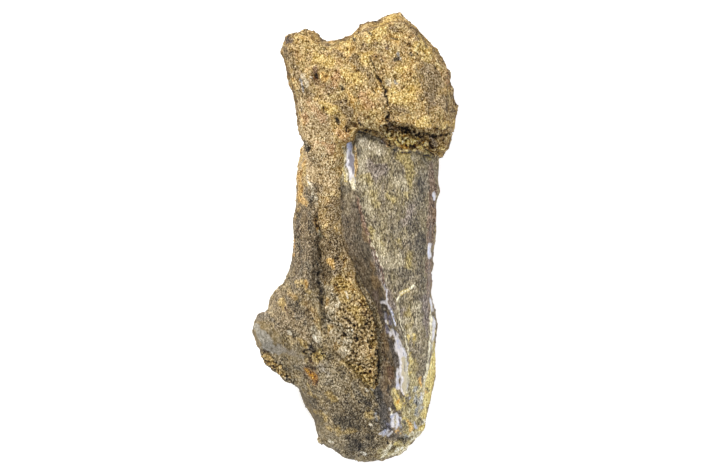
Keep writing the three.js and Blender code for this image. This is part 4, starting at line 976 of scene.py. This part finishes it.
def add(tree, kind, settings, *in_order, stops=(), **by_label):
    """One node with its settings and links. A colour band also has stops of (position, hex code).

    Inputs come in their order or by label. Each is a value, an output, or a node whose first output is used.
    """
    node = tree.nodes.new(kind)
    for name, value in settings.items():
        setattr(node, name, value)
    for index, (position, code) in enumerate(stops):
        band = node.color_ramp.elements
        stop = band[index] if index < 2 else band.new(position)
        stop.position = position
        stop.color = linear(code)
    inputs = [socket for socket in node.inputs if socket.enabled]
    given = list(zip(inputs, in_order))
    given += [(node.inputs[label.replace("_", " ")], value) for label, value in by_label.items()]
    for socket, value in given:
        if isinstance(value, bpy.types.Node):
            value = next(output for output in value.outputs if output.enabled)
        if isinstance(value, bpy.types.NodeSocket):
            tree.links.new(value, socket)
        else:
            socket.default_value = value
    return node


def new_finish(name):
    """An empty material, its tree, and the place that its patterns are read at."""
    material = bpy.data.materials.new(name)
    material.use_nodes = True
    tree = material.node_tree
    tree.nodes.clear()
    return material, tree, add(tree, "ShaderNodeTexCoord", {}).outputs["Object"]


def step_away(salt):
    """How far a pattern is moved, in metres, so that each salt shows another part of it."""
    return 0.1 * salt, 0.07 * salt, 0.03 * salt


def mottle(tree, place, size, squeeze=(1, 1, 1), salt=0):
    """Soft patches about size across, from 0 to 1."""
    there = add(tree, *SQUEEZED, place, squeeze, step_away(salt))
    return add(tree, "ShaderNodeTexNoise", {}, Vector=there, Scale=1 / (size * MM), Detail=4, Roughness=0.6)


def crystals(tree, place, size, squeeze, salt):
    """Crystals about size across: a chance from 0 to 1 for each, and how far from its middle a point is."""
    there = add(tree, *SQUEEZED, place, squeeze, step_away(salt))
    cells = add(tree, "ShaderNodeTexVoronoi", {}, Vector=there, Scale=1 / (size * MM))
    return add(tree, "ShaderNodeSeparateColor", {}, cells.outputs["Color"]), cells.outputs["Distance"]


def flecked(tree, place, colour, minerals, squeeze=(1, 1, 1)):
    """Lays flecks of other minerals over a colour."""
    for size, code, strength, salt in minerals:
        patches = mottle(tree, place, size, squeeze=squeeze, salt=salt)
        share = add(tree, *STRETCH, patches, 0.47, 0.68, 0, strength)
        colour = add(tree, *OVER, share, colour, linear(code))
    return colour


def stained(tree, place, colour):
    """Lays the stains over a colour. Where a stain fades, the grain of the surface breaks it into flecks."""
    flecks = mottle(tree, place, WORN_FLECK, salt=9)
    for name, stain in STAINS.items():
        broken = min(1, 0.3 + stain.soft)
        painted = add(tree, "ShaderNodeAttribute", {"attribute_name": name}).outputs["Fac"]
        uneven = add(tree, *TIMES_PLUS, flecks, broken, painted)
        share = add(tree, *STRETCH, uneven, 0.25 + 0.5 * broken, 0.85 + 0.5 * broken, 0, stain.strength)
        colour = add(tree, *OVER, share, colour, linear(stain.code))
    return colour


def shifted(tree, colour, light):
    """A colour made lighter or darker with its tint kept, by adding light to its sRGB values."""
    seen = add(tree, *POWER, colour, 1 / GAMMA)
    moved = add(tree, *BRIGHTEN, 1.0, seen, light)
    return add(tree, *POWER, moved, GAMMA)


def grained(tree, place, colour, size, contrast, pits, squeeze):
    """Crystals about size across, dark to pale, and pits where some fell out: the colour and the relief.

    Painted shade darkens pits, pores, gaps between nodules and steep sides; peaks are lighter; each loose
    grain has its own tone.
    """
    coarse, _ = crystals(tree, place, size, squeeze, 3)
    fine, _ = crystals(tree, place, 0.6 * size, squeeze, 4)
    mixed = add(tree, *TIMES_PLUS, fine, 0.7, coarse)
    lost, distance = crystals(tree, place, LOST_GRAIN, squeeze, 5)
    near_middle = add(tree, *STRETCH, distance, 0.42, 0.2, 0, 1)
    hole = add(tree, *TIMES, near_middle, add(tree, *STRETCH, lost, 0.72, 0.8, 0, pits))
    speckle = add(tree, *STRETCH, mixed, 0, 1.7, -contrast, contrast)
    glints = add(tree, *STRETCH, fine, 0.9, 0.96, 0, GLINT)
    # painted shade in the pits, and each crystal's own lightness
    own = add(tree, *TIMES_PLUS, hole, -PIT_SHADE, add(tree, *PLUS, speckle, glints))
    calm = add(tree, "ShaderNodeAttribute", {"attribute_name": "calm"}).outputs["Fac"]
    # the painted shade of the skin under each point, with each grain's own tone
    shade_and_tone = add(tree, "ShaderNodeAttribute", {"attribute_name": "shade_and_tone"}).outputs["Fac"]
    light = add(tree, *TIMES_PLUS, own, add(tree, *STRETCH, calm, 0, 1, 1, 0.1), shade_and_tone)
    return shifted(tree, colour, light), add(tree, *TIMES_PLUS, hole, -PIT_DEPTH, mixed)


def finished(tree, roughness, ior, colour, relief, depth):
    """Ends a finish with its shader: gloss, colour, and fine relief that is too small for the mesh."""
    bump = add(tree, "ShaderNodeBump", {}, Height=relief, Distance=depth * MM, Strength=0.7)
    shader = add(
        tree, "ShaderNodeBsdfPrincipled", {}, Base_Color=colour, Roughness=roughness, IOR=ior, Normal=bump
    )
    add(tree, "ShaderNodeOutputMaterial", {}, Surface=shader)


def sandstone_colour(tree, place):
    """Iron-stained sand: tan, with golden, orange, purple-grey and olive minerals."""
    tans = [(0.34, "#795f36"), (0.45, "#907645"), (0.55, "#9e8149"), (0.68, "#b5924c")]
    colour = add(tree, "ShaderNodeValToRGB", {}, mottle(tree, place, 2.4, salt=1), stops=tans)
    return flecked(tree, place, colour, SANDSTONE_MINERALS)


def root_colour(tree, place):
    """Mineralised bone-like root: grey-brown with olive and ochre."""
    browns = [(0.34, "#4e4227"), (0.46, "#685938"), (0.56, "#766541"), (0.68, "#8a774b")]
    broad = mottle(tree, place, 1.2, squeeze=(1, 0.45, 0.8), salt=2)
    return flecked(tree, place, add(tree, "ShaderNodeValToRGB", {}, broad, stops=browns), ROOT_MINERALS)


def enamel_colour(tree, place):
    """Fossil enamel: olive-brown and streaked up the crown, and darker on the face beside the keel."""
    olives = [(0.34, "#5c5138"), (0.46, "#6d6145"), (0.56, "#786b4b"), (0.68, "#837550")]
    darks = [(0.34, "#4d4233"), (0.5, "#5e513d"), (0.66, "#6c5d46")]
    broad = mottle(tree, place, 1.5, squeeze=(1, 0.45, 1), salt=5)
    crown = add(tree, "ShaderNodeValToRGB", {}, broad, stops=olives)
    crown = flecked(tree, place, crown, ENAMEL_MINERALS, squeeze=(1, 0.35, 1))
    dark_face = add(tree, "ShaderNodeAttribute", {"attribute_name": "dark_face"}).outputs["Fac"]
    return add(tree, *OVER, dark_face, crown, add(tree, "ShaderNodeValToRGB", {}, broad, stops=darks))


def sandstone_finish():
    """Broken sandstone: iron-stained grains of many tans, matt, with painted shade in the pores."""
    material, tree, place = new_finish("broken_sandstone")
    colour = stained(tree, place, sandstone_colour(tree, place))
    colour, relief = grained(tree, place, colour, SAND_FACET, contrast=0.44, pits=1.0, squeeze=(1, 0.7, 1))
    finished(tree, 0.92, 1.45, colour, relief, depth=0.015)
    return material


def root_finish():
    """Mineralised root: grey-brown and fibrous, with a sandy crust that hides where stone begins."""
    material, tree, place = new_finish("mineralised_root")
    sandy = add(tree, "ShaderNodeAttribute", {"attribute_name": "sandy"}).outputs["Fac"]
    colour = add(tree, *OVER, sandy, root_colour(tree, place), sandstone_colour(tree, place))
    colour = stained(tree, place, colour)
    colour, relief = grained(tree, place, colour, BONE_PORE, contrast=0.42, pits=1.0, squeeze=(1, 0.6, 1))
    finished(tree, 0.8, 1.55, colour, relief, depth=0.015)
    return material


def enamel_finish():
    """Worn fossil enamel: a fine olive-brown mottle, silky, with pale chips where the skin is gone and
    painted highlights on the right rim.
    """
    material, tree, place = new_finish("worn_enamel")
    colour = stained(tree, place, enamel_colour(tree, place))
    colour, relief = grained(tree, place, colour, ENAMEL_FIBRE, contrast=0.4, pits=0.5, squeeze=(1, 0.36, 1))
    finished(tree, 0.52, 1.6, colour, relief, depth=0.008)
    return material


def floor_finish():
    """A lit white table top: it glows a little, so that shadows on it stay faint."""
    material, tree, _ = new_finish("white_light_table")
    shader = add(
        tree, "ShaderNodeBsdfPrincipled", {}, Base_Color=linear("#f4f4f4"), Roughness=0.9, IOR=1.45,
        Emission_Color=linear("#ffffff"), Emission_Strength=0.55,
    )
    add(tree, "ShaderNodeOutputMaterial", {}, Surface=shader)
    return material


# ---- Camera, light and table ----

# In millimetres, but for the pixels.
FRAME_WIDTH = 708  # pixels across the frame
FRAME_SCALE = 9  # pixels to the millimetre
VIEW_WIDTH = FRAME_WIDTH / FRAME_SCALE  # how much the frame takes in across
VIEW_CENTRE = (-0.13, 0.13)  # the point of the table that the camera looks down on
OUTLINE_HEIGHT = 6.5  # height of the fossil's outline over the table, where the view has that width
LENS = 240
SENSOR = 36
TABLE_WIDTH = 4000  # far past the fossil on every side


def add_camera():
    data = bpy.data.cameras.new("camera")
    data.lens = LENS
    data.sensor_width = SENSOR
    data.clip_start = 0.01
    data.clip_end = 20
    camera = bpy.data.objects.new("camera", data)
    camera.location = Vector((*VIEW_CENTRE, OUTLINE_HEIGHT + VIEW_WIDTH * LENS / SENSOR)) * MM
    bpy.context.scene.collection.objects.link(camera)
    bpy.context.scene.camera = camera


def add_panel(name, place, size, watts, colour):
    """A soft light panel that faces the fossil. Place and size are in millimetres."""
    data = bpy.data.lights.new(name, "AREA")
    data.energy = watts
    data.size = size * MM
    data.color = linear(colour)[:3]
    panel = bpy.data.objects.new(name, data)
    panel.location = Vector(place) * MM
    panel.rotation_euler = (-Vector(place)).to_track_quat("-Z", "Y").to_euler()
    bpy.context.scene.collection.objects.link(panel)


def add_table():
    bpy.ops.mesh.primitive_plane_add(size=TABLE_WIDTH * MM)
    table = bpy.context.object
    table.name = "table"
    table.data.materials.append(floor_finish())


def light_scene():
    world = bpy.data.worlds.new("studio")
    world.use_nodes = True
    sky = world.node_tree.nodes["Background"]
    sky.inputs["Color"].default_value = linear("#ffffff")
    sky.inputs["Strength"].default_value = 0.55
    bpy.context.scene.world = world
    add_panel("key_panel", place=(-230, 330, 330), size=160, watts=2.4, colour="#fff8ee")
    add_panel("fill_panel", place=(320, -120, 420), size=260, watts=0.8, colour="#f4f7ff")
    bpy.context.scene.view_settings.view_transform = "Standard"


# ---- The fossil ----

STONE_GRAINS = 9900
ROOT_GRAINS = 7000
FOOT = 0.3  # sand doesn't cling below this height, where the fossil rests

add_camera()
light_scene()
add_table()

tooth_mesh = fine_copy("tooth", "tooth_skin")
smooth_tooth = BVHTree.FromPolygons(
    [Vector(point) for point in points_of(tooth_mesh)], [tuple(face.vertices) for face in tooth_mesh.polygons]
)
tooth = sculpt_tooth(tooth_mesh)
of_enamel = faces_over(tooth_mesh, tooth.kept["enamel"], 0.5)
tooth_mesh.polygons.foreach_set("material_index", of_enamel.astype(np.int32))

stone_mesh = fine_copy("sandstone_matrix", "sandstone_skin")
stone, open_air = sculpt_stone(stone_mesh, smooth_tooth)

sandstone = sandstone_finish()
mineralised_root = root_finish()
finished_piece(tooth_mesh, "tooth", [mineralised_root, enamel_finish()])
finished_piece(stone_mesh, "sandstone_matrix", [sandstone])

stone_weights = open_air * (stone.points[:, 2] > FOOT)
stone_weights *= 1 - np.maximum(0.8 * stone.kept["gap_and_painted_shade"], 0.97 * stone.kept["crack_and_edge_shadow"])
sprinkle("sand_on_stone", stone, stone_weights, STONE_GRAINS, sandstone, seed=3)
root_weights = (1 - tooth.kept["enamel"]) * (1 - 0.97 * tooth.kept["knob_grey"]) * (tooth.points[:, 2] > FOOT)
root_weights *= 0.35 + tooth.kept["sandy"]
sprinkle("sand_on_root", tooth, root_weights, ROOT_GRAINS, mineralised_root, seed=4)
